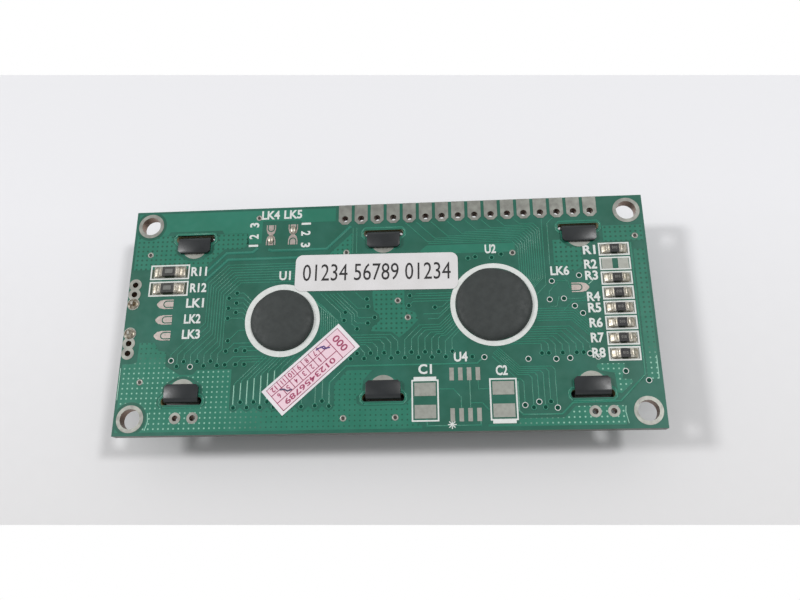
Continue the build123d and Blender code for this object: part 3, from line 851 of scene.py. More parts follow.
def lay_sheet(areas: Sequence[Area], low: float, high: float, piece: Piece) -> None:
    """Lay thin flat areas with openings.

    Args:
        areas: each area's outline and its openings.
        low: the height of the areas' underside.
        high: the height of their top.
        piece: the piece that they become.
    """
    curve = bpy.data.curves.new(piece.name, "CURVE")
    curve.dimensions = "2D"
    curve.fill_mode = "BOTH"
    curve.extrude = (high - low) / 2 * MM
    for outline, cuts in areas:
        for ring in (outline, *cuts):
            spline = curve.splines.new("POLY")
            spline.points.add(len(ring) - 1)
            for point, (x, y) in zip(spline.points, ring):
                point.co = (x * MM, y * MM, 0.0, 1.0)
            spline.use_cyclic_u = True
    mesh = plain_mesh(put(piece.name, curve))
    mesh.transform(Matrix.Translation((0.0, 0.0, (low + high) / 2 * MM)))
    piece.finish.cover(mesh)
    piece.seat(mesh)


def add_dome(work: bmesh.types.BMesh, rings: Sequence[Sequence[Place]], peak: Place) -> None:
    """Add a smooth dome over a flat base.

    Args:
        work: the mesh that it is added to.
        rings: the points of its rings in millimetres, from the base up.
        peak: its top.
    """
    rows = [[work.verts.new((x * MM, y * MM, z * MM)) for x, y, z in ring] for ring in rings]
    for lower, upper in zip(rows, rows[1:]):
        for k in range(len(lower)):
            n = (k + 1) % len(lower)
            work.faces.new((lower[k], lower[n], upper[n], upper[k])).smooth = True
    top = work.verts.new((peak[0] * MM, peak[1] * MM, peak[2] * MM))
    for k, vert in enumerate(rows[-1]):
        work.faces.new((vert, rows[-1][(k + 1) % len(rows[-1])], top)).smooth = True
    work.faces.new(tuple(reversed(rows[0])))


def turns(steps: int) -> list[float]:
    """Equal turns round a circle, in radians."""
    return [2 * math.pi * k / steps for k in range(steps)]


def disc_outline(x: float, y: float, radius: float, steps: int = 40) -> Run:
    """Points round a circle."""
    return [(x + radius * math.cos(a), y + radius * math.sin(a)) for a in turns(steps)]


def box_outline(x: float, y: float, half: Point, corner: float) -> Run:
    """Points round a rectangle with cut corners.

    Args:
        x: its middle.
        y: its middle.
        half: half of its length and width.
        corner: how much each corner is cut.

    Returns:
        The outline.
    """
    left, right, near, far = x - half[0], x + half[0], y - half[1], y + half[1]
    low = [(left + corner, near), (right - corner, near), (right, near + corner), (right, far - corner)]
    return low + [(right - corner, far), (left + corner, far), (left, far - corner), (left, near + corner)]


@dataclass
class Studio:
    """The table, the lamps, the surroundings and the camera of the photograph."""

    camera_at: Place = (9.776, -32.892, 111.959)
    forward: Place = (-0.06645, 0.31862, -0.94555)
    upward: Place = (0.02755, 0.94787, 0.31746)
    nearest: float = 5.0
    lens: float = 32.44
    sensor: float = 36.0
    frame_size: tuple[int, int] = (800, 600)
    table_rows: Point = (75.0, 525.0)
    table_columns: Point = (-900.0, 1700.0)
    left_lamp: Place = (-9.0, 1.7, 8.4)
    right_lamp: Place = (5.5, 2.0, 8.4)
    left_strength: float = 1.16
    right_strength: float = 0.96
    lamp_spread: float = 0.15
    ambient: Point = (0.12, 0.70)
    front_and_back: Point = (0.3, 1.7)
    gloss: Point = (1.0, 0.5)

    def axes(self) -> tuple[Vector, Vector, Vector]:
        """The camera's right, up and forward directions.

        Returns:
            The three directions.
        """
        ahead = Vector(self.forward).normalized()
        right = ahead.cross(Vector(self.upward)).normalized()
        return right, right.cross(ahead), ahead

    def on_table(self, column: float, row: float) -> Place:
        """Where a point of the picture falls on the table.

        Args:
            column: across the picture, in its pixels.
            row: down the picture.

        Returns:
            The point, in metres.
        """
        right, up, ahead = self.axes()
        focal = self.lens / self.sensor * self.frame_size[0]
        across = (column - self.frame_size[0] / 2) / focal
        down = (row - self.frame_size[1] / 2) / focal
        ray = ahead + right * across - up * down
        start = Vector(self.camera_at) * MM
        hit = start - ray * (start.z / ray.z)
        return (hit.x, hit.y, 0.0)

    def place_camera(self) -> None:
        """Set the camera at the photograph's place and angle."""
        data = bpy.data.cameras.new("photograph")
        data.lens = self.lens
        data.sensor_width = self.sensor
        data.clip_start = self.nearest * MM
        camera = put("photograph", data)
        right, up, ahead = self.axes()
        turn = Matrix((right, up, -ahead)).transposed().to_4x4()
        camera.matrix_world = Matrix.Translation(Vector(self.camera_at) * MM) @ turn
        bpy.context.scene.camera = camera

    def lay_table(self) -> None:
        """Lay the pale table top that the module rests on."""
        (low, high), (top, bottom) = self.table_columns, self.table_rows
        corners = [self.on_table(*spot) for spot in ((low, bottom), (high, bottom), (high, top), (low, top))]
        mesh = bpy.data.meshes.new("table")
        mesh.from_pydata(corners, [], [(0, 1, 2, 3)])
        TABLE.cover(mesh)
        put("table", mesh)

    def light(self) -> None:
        """Hang a broad lamp on each side, behind the module's middle."""
        lamps = ((self.left_lamp, self.left_strength), (self.right_lamp, self.right_strength))
        for number, (direction, strength) in enumerate(lamps):
            data = bpy.data.lights.new(f"lamp_{number}", "SUN")
            data.energy = strength
            data.angle = self.lamp_spread
            put(f"lamp_{number}", data).rotation_euler = Vector(direction).to_track_quat("Z", "Y").to_euler()

    def surround(self) -> None:
        """White surroundings to the eye, with a dim ceiling in gloss and light from above and from behind."""
        world = bpy.data.worlds.new("surroundings")
        bpy.context.scene.world = world
        world.use_nodes = True
        tree = world.node_tree
        tree.nodes.clear()
        way = add(tree, "ShaderNodeTexCoord", out="Generated")
        axes = add(tree, "ShaderNodeSeparateXYZ", {0: way}, out=None)
        front, back = self.front_and_back
        across = {"Value": axes[1], "From Min": -1.0, "To Min": front, "To Max": back}
        behind = add(tree, "ShaderNodeMapRange", across)
        high = add(tree, "ShaderNodeMath", {0: axes[2]}, operation="ABSOLUTE")
        above, gloss = (
            add(tree, "ShaderNodeMapRange", {"Value": high, "To Min": low, "To Max": top})
            for low, top in (self.ambient, self.gloss)
        )
        light = add(tree, "ShaderNodeMath", {0: above, 1: behind}, operation="MULTIPLY")
        ray = add(tree, "ShaderNodeLightPath", out=None)
        through = {0: ray["Is Glossy Ray"], 1: ray["Is Transmission Ray"]}
        shiny = add(tree, "ShaderNodeMath", through, operation="MAXIMUM")
        unseen = add(tree, "ShaderNodeMapRange", {"Value": shiny, "To Min": light, "To Max": gloss})
        strength = add(tree, "ShaderNodeMapRange", {"Value": ray["Is Camera Ray"], "To Min": unseen})
        ground = add(tree, "ShaderNodeBackground", {"Color": (1.0, 1.0, 1.0, 1.0), "Strength": strength})
        add(tree, "ShaderNodeOutputWorld", {"Surface": ground}, out=None)

    def build(self) -> None:
        """Set up everything that isn't the module."""
        bpy.context.scene.view_settings.view_transform = "Standard"
        self.place_camera()
        self.lay_table()
        self.light()
        self.surround()


@dataclass
class DisplayStack:
    """The folded frame, the glass cell and the backlight in it."""

    edge_round: float = 0.06
    edge_angle: float = 30.0
    flat_angle: float = 1.0
    sharp_angle: float = 35.0
    same_point: float = 0.001

    def round_frame(self) -> None:
        """Break the sharp edges of the folded frame, so that its folds and tabs catch the light."""
        piece = Piece("folded_frame", "black_frame", LACQUER, ("metal_frame",))
        work = bmesh.new()
        work.from_mesh(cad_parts["metal_frame"].data)
        bmesh.ops.remove_doubles(work, verts=work.verts, dist=self.same_point * MM)
        flat = math.radians(self.flat_angle)
        bmesh.ops.dissolve_limit(work, angle_limit=flat, verts=work.verts, edges=work.edges)
        mesh = bpy.data.meshes.new(piece.name)
        work.to_mesh(mesh)
        work.free()
        source = put(piece.name, mesh)
        bevel = source.modifiers.new("rounded_edges", "BEVEL")
        bevel.width = self.edge_round * MM
        bevel.segments = 2
        bevel.limit_method = "ANGLE"
        bevel.angle_limit = math.radians(self.edge_angle)
        done = plain_mesh(source)
        done.set_sharp_from_angle(angle=math.radians(self.sharp_angle))
        piece.finish.cover(done)
        piece.seat(done)

    def build(self) -> None:
        """Dress the stack from the display face up."""
        self.round_frame()
        FRONT_FILM.dress("front_polariser")
        GLASS.dress("front_glass", "rear_glass")
        GLUE.dress("cell_seal", "fill_plug")
        REAR_FILM.dress("rear_polariser")
        WHITE_PLASTIC.dress("diffuser_film", "reflector_film", "backlight_tray", "lamp_board")
        GUIDE.dress("light_guide")
        LAMP.dress("backlight_lamps")
        LEAD.dress("backlight_lead_near", "backlight_lead_far")
        RUBBER.dress("connector_strip_near", "connector_strip_far")


@dataclass
class CopperWork:
    """The board, and the copper that shows through its green mask."""

    growth: Growth
    pour_top: float = 8.812
    track_top: float = 8.818
    via_top: float = 8.822
    layer: float = 0.001
    track_width: float = 0.16
    broad_width: float = 0.3
    wide_width: float = 0.5
    glint_width: float = 0.1
    tinned_via: Point = (0.48, 0.26)
    ringed_via: Point = (0.44, 0.335)
    masked_via: Point = (0.42, 0.27)
    slot_xs: Place = (-30.0, 0.0, 30.0)
    slot_half: Point = (3.1, 0.65)
    slot_corner: float = 0.3
    rim_half: Point = (3.38, 0.93)
    rim_corner: float = 0.5
    clearing_reach: Point = (3.75, 2.35)
    clearing_middle: float = -1.3
    land_inset: float = 0.42

    def clearing(self, x: float, side: int, inset: float) -> Run:
        """The edge of the copper round a slot, its tab and its ground pad.

        Args:
            x: the middle of the slot.
            side: 1 for the far row of slots, -1 for the near one.
            inset: how far inside the outer edge of the gap.

        Returns:
            The outline.
        """
        lower = [(0.0, 0.95), (3.2, 0.95), (3.65, 0.55), (3.75, 0.0), (3.6, -0.6), (3.1, -1.1), (2.95, -2.4)]
        half = lower + [(2.6, -2.65), (1.9, -3.15), (1.0, -3.6), (0.0, -3.75)]
        shape = half + [(-px, py) for px, py in half[-2:0:-1]]
        middle = self.clearing_middle
        wide, deep = ((reach - inset) / reach for reach in self.clearing_reach)
        return [(x + px * wide, side * (SLOT_Y + middle + (py - middle) * deep)) for px, py in shape]

    def ground_lands(self) -> list[Area]:
        """The masked copper round each ground pad, inside the gap.

        Returns:
            The areas, each with its openings.
        """
        lands = []
        for x, side in ((x, side) for x in self.slot_xs for side in (1, -1)):
            slot = box_outline(x, side * SLOT_Y, self.slot_half, self.slot_corner)
            lands.append((self.clearing(x, side, self.land_inset), [slot]))
        return lands

    def near_left(self) -> list[Area]:
        """The hatched area of the near left corner, with its scalloped edge round the row of vias.

        Returns:
            The areas, each with its openings.
        """
        left = [
            (-37.3, -3.9), (-35.0, -3.9), (-34.2, -5.2), (-33.0, -5.4), (-32.9, -7.6), (-31.6, -8.4),
            (-30.6, -9.0), (-28.6, -9.0), (-28.0, -8.3), (-22.7, -8.3), (-22.7, -14.2),
        ]
        scallops = []
        for i in range(15):
            x = -22.08 + 1.013 * i
            scallops += [(x, -14.05)] if i % 2 else [(x - 0.45, -14.56), (x, -14.75), (x + 0.45, -14.56)]
        right = [
            (-7.2, -14.1), (-7.2, -10.9), (-5.3, -8.85), (-1.6, -8.85), (-2.9, -10.3), (-3.15, -12.1),
            (-3.95, -12.8), (-3.85, -13.8), (-3.1, -14.15), (3.1, -14.15), (3.65, -13.6), (4.2, -12.8),
            (4.2, -16.5), (5.6, -17.1), (5.6, -17.5), (-39.6, -17.5), (-39.6, -7.2), (-38.2, -7.2),
            (-37.4, -6.9),
        ]
        holes = [disc_outline(x, -15.5, r) for x, r in ((-37.5, 2.0), (-30.7, 0.8), (-28.1, 0.8))]
        return [(left + scallops + right, [*holes, self.clearing(-30.0, -1, 0.0)])]

    def near_right(self) -> list[Area]:
        """The hatched areas of the near right corner.

        Returns:
            The areas, each with its openings.
        """
        low = [
            (19.4, -16.3), (25.8, -16.3), (27.4, -14.7), (34.2, -14.7), (34.5, -16.0), (34.3, -17.4),
            (15.0, -17.4), (15.0, -17.1), (19.4, -17.1),
        ]
        side = [
            (30.8, -9.0), (31.1, -8.6), (34.8, -8.65), (34.8, -9.2), (34.3, -10.9), (35.6, -11.0),
            (35.8, -11.35), (34.0, -13.0), (33.5, -12.8), (33.3, -10.0), (31.2, -9.6),
        ]
        strip = [(37.9, -4.0), (39.6, -4.0), (39.6, -11.0), (37.9, -11.0)]
        holes = [disc_outline(30.1, -15.5, 0.8), disc_outline(32.7, -15.5, 0.8)]
        return [(low, holes), (side, []), (strip, [])]

    def hatched(self) -> list[Area]:
        """The hatched areas whose openings are darker than their ground.

        Returns:
            The areas, each with its openings.
        """
        middle = [
            (-1.6, 3.5), (-1.7, 3.0), (-1.45, 0.3), (-0.65, -0.35), (-0.5, -1.3), (-1.8, -2.45),
            (-1.8, -2.95),
            (1.3, -3.1), (2.35, -4.05), (3.7, -2.95), (5.25, -1.3), (4.85, -0.2), (3.7, 0.3), (3.2, 1.1),
            (3.2, 3.5),
        ]
        far_left = [
            (-39.6, 13.7), (-21.6, 13.7), (-21.4, 11.9), (-22.2, 11.1), (-25.2, 11.1), (-28.3, 8.0),
            (-39.6, 8.0),
        ]
        wedge = [(-8.3, 9.9), (-4.95, 13.2), (-4.95, 9.6), (-8.3, 9.6)]
        right_strip = [(37.9, 9.0), (39.6, 9.0), (39.6, -4.0), (37.9, -4.0)]
        far_right = [(33.6, 10.4), (37.6, 10.4), (39.6, 10.4), (39.6, 13.0), (33.6, 13.0)]
        ear = [
            (25.95, 10.9), (27.1, 10.9), (28.1, 9.8), (30.2, 9.5), (30.2, 6.6), (29.0, 5.7), (28.0, 5.9),
            (25.95, 6.8),
        ]
        whole = [(one, []) for one in (middle, wedge, right_strip, far_right, ear)]
        return [*whole, (far_left, [self.clearing(-30.0, 1, 0.0)])]

    def plain(self) -> list[Area]:
        """The copper areas without hatching.

        Returns:
            The areas, each with its openings.
        """
        over_left = [
            (-21.6, 11.9), (-19.3, 11.9), (-19.3, 15.7), (-13.3, 15.7), (-12.9, 15.3), (-7.6, 15.3),
            (-7.6, 17.6), (-39.6, 17.6), (-39.6, 13.75), (-34.6, 13.75), (-34.2, 14.35), (-25.8, 14.35),
            (-25.4, 13.75), (-21.6, 13.75),
        ]
        bar = [(6.7, 10.65), (20.2, 10.65), (20.2, 9.2), (5.9, 9.2), (5.7, 9.8)]
        return [(over_left, [disc_outline(-37.5, 15.5, 2.0)]), (bar, []), *self.ground_lands()]

    def left_bundle(self) -> list[Run]:
        """Eight tracks from under the label that turn down beside the left coat and fan out to their vias.

        Returns:
            The runs of points.
        """
        runs = []
        for i in range(8):
            y = 8.37 - 0.43 * i
            x = -27.3 + 0.42 * i
            end = -32.2 + 1.03 * i
            down = [(x, 5.47 - 0.33 * i), (x, -5.85 + x - end), (end, -5.85), (end, -7.7 if i % 2 else -7.0)]
            runs.append([(-13.6, y), (x + 2.9 - 0.1 * i, y), *down])
        return runs

    def left_side(self) -> list[Run]:
        """Short tracks from the vias beside the left coat to its ring.

        Returns:
            The runs of points.
        """
        runs = [[(x, y), (-21.6, y), (-20.3, y - 1.3)] for x, y in self.left_vias()[:6]]
        lifts = ((1.2, -19.9), (0.55, -19.5), (0.0, -18.9), (1.2, -18.0), (0.8, -17.5), (0.35, -18.6))
        for (x, y), (rise, end) in zip(self.left_vias()[6:], lifts):
            runs.append([(x, y), (x + rise, y + rise), (end, y + rise)])
        runs.append([(-23.6, -3.9), (-22.0, -2.3), (-20.7, -2.3)])
        return runs

    def left_vias(self) -> list[Point]:
        """The masked vias beside and below the left coat.

        Returns:
            The middles of the vias.
        """
        beside = [(-22.66, y) for y in (3.69, 2.08, 0.55)] + [(-23.87, y) for y in (2.9, 1.27, -0.34)]
        below = [(-23.8, -5.5), (-22.25, -5.45), (-20.9, -5.5), (-23.8, -7.6), (-22.2, -7.6), (-20.85, -7.6)]
        return beside + below

    def left_comb(self) -> list[Run]:
        """The comb of tracks under the left coat, down to its row of vias.

        Returns:
            The runs of points.
        """
        tops = (-10.5, -10.1, -9.9, -9.5, -9.1, -8.7, -8.5, -8.3, -8.1)
        runs = []
        for i, top in enumerate(tops):
            x = -22.08 + i
            reach = -6.5 - top
            runs.append([(x + reach, top + reach), (x, top), (x, -13.3 if i % 2 else -14.1)])
        runs += [[(x, -10.0), (x, -13.6)] for x in (-12.0, -9.98, -8.94)]
        return runs

    def middle_bundle(self) -> list[Run]:
        """Tracks from under the label to the vias between the coats.

        Returns:
            The runs of points.
        """
        runs = [
            [(-4.2, 3.2), (-3.15, 2.15), (-2.5, 2.15)],
            [(-6.4, 3.2), (-3.9, 0.7), (-2.6, 0.7), (-2.34, 0.94)],
            [(-7.05, 3.2), (-3.95, 0.1), (-3.95, -0.5), (-3.65, -0.8), (-1.3, -0.8)],
            [(-7.65, 3.1), (-4.35, -0.2), (-4.35, -1.25), (-3.95, -1.65), (-2.34, -1.65)],
            [(-8.15, 3.1), (-4.75, -0.3), (-4.75, -1.73), (-3.95, -2.53)],
            [(-8.9, 3.2), (-5.83, 0.13)],
            [(-9.6, 3.2), (-6.45, 0.05), (-6.45, -0.65), (-5.94, -1.16)],
            [(-4.7, -3.5), (1.13, -3.5), (2.18, -4.55), (2.18, -6.3)],
            [(-4.2, -3.9), (0.3, -3.9), (1.16, -4.76), (1.16, -7.1)],
            [(-3.8, -4.3), (-0.5, -4.3), (0.13, -4.93), (0.13, -6.3)],
            [(-3.5, -4.65), (-1.6, -4.7), (-0.84, -5.46), (-0.84, -7.1)],
            [(-3.4, -5.0), (-2.6, -5.0), (-1.85, -5.75), (-1.85, -6.3)],
            [(-3.6, -5.35), (-2.8, -6.15), (-2.8, -7.1)],
            [(-5.2, -4.2), (-3.9, -5.5), (-3.9, -6.3)],
        ]
        for k in range(9):
            x = -9.4 + 0.32 * k
            y = 0.9 - 0.26 * k
            runs.append([(x - 2.4, y + 2.4), (x, y), (x, -6.0)])
        return runs

    def right_comb(self) -> list[Run]:
        """The comb of tracks to the left of the right coat.

        Returns:
            The runs of points.
        """
        levels = (-2.15, -2.55, -2.95, -3.3, -3.6, -3.85)
        starts = (5.4, 5.9, 6.3, 7.1, 7.9, 8.6)
        ends = (8.4, 8.5, 8.6, 8.8, 9.0, 9.35)
        runs = []
        for i, (y, start, end) in enumerate(zip(levels, starts, ends)):
            x = 3.2 + i
            foot = -6.3 if i % 2 else -7.1
            runs.append([(x, foot), (x, y - start + x), (start, y), (end, y), (end + 1.7, y + 1.7)])
        runs += [[(9.2, -7.1), (9.2, -4.75), (11.5, -2.45)], [(10.2, -6.3), (10.2, -4.3), (11.9, -2.6)]]
        runs += [
            [(5.0, 2.8), (10.3, 2.8)],
            [(4.03, 2.5), (4.6, 2.42), (10.3, 2.42)],
            [(4.6, 1.98), (10.3, 1.98)],
            [(3.87, 0.94), (4.5, 1.57), (10.3, 1.58)],
            [(7.8, 0.56), (8.9, 0.6), (9.7, 1.4)],
            [(6.1, -0.45), (8.55, -0.45), (10.0, 1.0)],
            [(6.8, -1.24), (8.2, -1.24), (10.1, 0.66)],
        ]
        return runs

    def header_bundle(self) -> list[Run]:
        """Eleven tracks from the connection pads that step down beside the right coat.

        Returns:
            The runs of points.
        """
        bends = (7.0, 6.84, 7.9, 8.0, 10.0, 12.25, 12.7, 14.5, 16.7, 18.8, 21.1)
        runs = []
        for k, bend in enumerate(bends):
            y = 10.95 + 0.285 * k
            x = 20.7 + 0.34 * k
            from_pad = [] if k in (0, 2, 6) else [(bend + y - 14.6, 14.6)]
            runs.append([*from_pad, (bend, y), (x - 0.95, y), (x, y - 0.95), (x, 4.7), (x - 1.8, 2.9)])
        runs += [
            [(24.5, 14.4), (24.5, 3.6), (23.0, 2.1)],
            [(26.2, 14.6), (25.3, 13.7), (25.3, 6.9)],
            [(-4.8, 14.0), (-4.8, 9.8)],
            [(-4.2, 14.0), (-4.2, 9.8)],
        ]
        return runs

    def right_bundle(self) -> list[Run]:
        """Tracks that leave the right coat to the right and turn down to their vias.

        Returns:
            The runs of points.
        """
        runs = []
        for i in range(6):
            y = -0.1 - 0.37 * i
            bend = 28.4 - 0.1 * i
            end = 32.5 - 0.38 * i
            runs.append([(22.9, y), (bend, y), (end, y - end + bend)])
        for j in range(8):
            y = -2.9 - 0.36 * j
            x = 30.2 - j
            start = 16.3 + math.sqrt(42.25 - (y - 0.85) ** 2)
            runs.append([(start, y), (x - 5.6 - y, y), (x, -5.6), (x, -7.5 if j in (3, 5) else -6.7)])
        columns = (24.9, 24.0, 23.2, 22.35, 21.55, 20.35)
        levels = (-8.85, -9.15, -9.45, -9.72, -10.02, -10.62)
        feet = (-14.9, -14.0, -14.8, -14.0, -14.8, -14.5)
        for i, (x, y, foot) in enumerate(zip(columns, levels, feet)):
            start = 19.9 - 0.1 * i
            reach = 2.9 + 0.1 * i
            runs.append([(start - reach, y + reach), (start, y), (x - 0.45, y), (x, y - 0.45), (x, foot)])
        return runs

    def singles(self) -> list[Run]:
        """Tracks that run alone.

        Returns:
            The runs of points.
        """
        return [
            [(8.1, -11.9), (10.2, -11.9), (11.3, -13.1), (11.3, -14.6)],
            [(12.6, -10.7), (12.6, -14.6)],
            [(12.7, -14.0), (14.3, -14.0), (15.2, -15.0)],
            [(13.8, -10.7), (13.8, -12.0), (15.3, -12.0)],
            [(28.5, 3.1), (27.95, 3.1), (27.8, 4.1), (27.2, 4.6)],
            [(26.9, -0.4), (28.2, 0.9), (30.4, 1.0)],
            [(27.3, 1.35), (29.9, 1.35), (30.3, 1.7)],
            [(26.3, 1.7), (25.9, 0.2), (25.0, 0.2)],
            [(25.4, 4.2), (27.4, 4.2)],
            [(24.9, 1.3), (24.9, 2.6), (26.2, 3.9)],
        ]

    def broad(self) -> list[Run]:
        """The supply tracks, broader than the others, and the rims of the slots.

        Returns:
            The runs of points.
        """
        runs = [
            [(-7.9, -14.0), (-7.9, -10.6), (-5.5, -8.2), (13.8, -8.2), (14.7, -7.3)],
            [
                (37.6, 10.0), (37.6, -10.3), (33.8, -14.1), (27.1, -14.2), (25.5, -15.8), (20.0, -15.8),
                (19.5, -15.3),
            ],
            [(19.5, -15.3), (19.5, -11.0)],
            [(6.3, -16.3), (6.3, -17.2), (14.0, -17.2), (14.0, -16.0)],
        ]
        for x in self.slot_xs:
            for y in (-SLOT_Y, SLOT_Y):
                rim = box_outline(x, y, self.rim_half, self.rim_corner)
                runs.append([*rim, rim[0]])
        return runs

    def wide(self) -> list[Run]:
        """The three broadest tracks, over and beside the label.

        Returns:
            The runs of points.
        """
        return [
            [(-13.6, 9.3), (-24.5, 9.3), (-27.8, 6.0)],
            [(-20.0, 11.0), (-20.6, 10.4), (-24.8, 10.4), (-27.9, 7.2)],
            [(-18.0, 10.8), (-17.7, 10.6), (-8.9, 10.6), (-5.3, 14.2)],
        ]

    def glints(self) -> list[Run]:
        """The shoulders of copper edges, where pale strips paint the light that they catch.

        Returns:
            The runs of points.
        """
        runs = [
            [(-39.8, -7.8), (-39.8, -12.6)],
            [(39.45, -7.6), (39.45, -10.9)],
            [(-34.9, -14.7), (-34.75, -15.9), (-35.1, -17.2)],
            [(34.4, -14.8), (34.3, -15.6), (34.6, -17.2)],
            [(30.85, 3.6), (31.5, 4.2)],
        ]
        runs += [[(-22.19 + i, -10.8 + 0.35 * i), (-22.19 + i, -12.9 if i % 2 else -13.6)] for i in range(7)]
        return runs

    def build(self) -> None:
        """Dress the board, and lay its copper, tracks and vias."""
        BOARD.dress("circuit_board")
        TIN.dress("tab_pads", "component_pads")
        LINK_TIN.dress("link_pads")
        for name, finish, areas in (
            ("near_pours", NEAR_POUR, self.near_left() + self.near_right()),
            ("hatched_pours", DARK_POUR, self.hatched()),
            ("plain_pours", POUR, self.plain()),
        ):
            lay_sheet(areas, BOARD_TOP, self.pour_top, Piece(name, "board", finish))
        fine = self.left_bundle() + self.left_side() + self.left_comb() + self.middle_bundle()
        fine += self.right_comb() + self.header_bundle() + self.right_bundle() + self.singles()
        under, over = self.track_top - self.layer, self.track_top + 2 * self.layer
        for name, finish, runs, level, width in (
            ("tracks", TRACK, fine, self.track_top, self.track_width),
            ("broad_tracks", TRACK, self.broad(), under, self.broad_width),
            ("wide_tracks", WIDE_TRACK, self.wide(), under, self.wide_width),
            ("painted_copper_glints", EDGE_GLINT, self.glints(), over, self.glint_width),
        ):
            self.growth.strips(runs, level, width, Piece(name, "board", finish))
        for name, slot, finish, shade, size, spots in (
            ("tinned_vias", "tin", TIN, HOLE, self.tinned_via, self.tinned_spots()),
            ("ringed_vias", "white_ink", INK, MASKED_HOLE, self.ringed_via, self.ringed_spots()),
            ("masked_vias", "board", TRACK, MASKED_HOLE, self.masked_via, self.masked_spots()),
        ):
            self.growth.eyelets(spots, self.via_top, size, shade, Piece(name, slot, finish))

    def tinned_spots(self) -> list[Point]:
        """The bare tinned vias.

        Returns:
            The middles of the vias.
        """
        return [
            (-37.1, 10.5), (-36.6, -10.0), (-5.8, -15.9), (1.75, -15.9), (2.2, 1.8), (3.7, -0.9),
            (19.8, 9.0), (38.4, 11.2), (-19.9, 16.3), (-5.8, 9.9),
        ]

    def ringed_spots(self) -> list[Point]:
        """The vias with a printed ring.

        Returns:
            The middles of the vias.
        """
        return [
            (38.0, -11.2), (34.9, -9.8), (14.85, -7.3), (21.2, -7.7), (25.2, -7.8), (27.2, -7.7),
            (30.1, -7.1), (31.2, -7.6), (20.35, -14.45), (22.35, -14.0), (24.9, -14.9), (25.4, 4.2),
            (29.5, 5.0), (24.9, 1.3), (27.0, 1.4), (28.5, 0.2), (29.6, -0.95), (-32.1, -6.8), (-29.1, -7.8),
        ]

    def masked_spots(self) -> list[Point]:
        """The vias under the mask, alone and in the rows at the feet of the combs and bundles.

        Returns:
            The middles of the vias.
        """
        spots = [
            (7.8, 0.56), (4.03, 2.5), (3.87, 0.94), (-2.5, 2.15), (-2.34, 0.94), (-1.3, -0.8), (-2.34, -1.65),
            (-3.95, -2.53), (-5.77, 0.13), (-5.94, -1.16), (13.0, 8.3), (14.1, 8.5), (16.6, 8.3),
            (18.05, 8.8), (-23.6, -3.9), (13.1, -7.2), (21.55, -14.8), (23.2, -14.8), (24.0, -14.0),
            (-12.0, -14.1), (-9.98, -14.0), (-8.94, -13.35), (-7.9, -14.1),
        ]
        spots += self.left_vias()
        spots += [(-32.2 + 1.03 * i, -7.7 if i % 2 else -7.0) for i in (1, 2, 4, 5, 6, 7)]
        spots += [(-22.08 + i, -13.3 if i % 2 else -14.1) for i in range(9)]
        spots += [(-3.9 + 2.02 * i, -6.32) for i in range(8)] + [(-4.84 + 2.01 * i, -7.13) for i in range(8)]
        return spots + [(30.2 - j, -6.9) for j in (1, 2, 4, 6, 7)]


@dataclass(frozen=True)
class ChipRow:
    """Chip resistors of one size: where they stand, and the halves of their body, pads, gap and ground, the
    box of painted shade round them.
    """

    x: float
    ys: tuple[float, ...]
    chip: Point
    pad: Point
    gap: float
    ground: Point


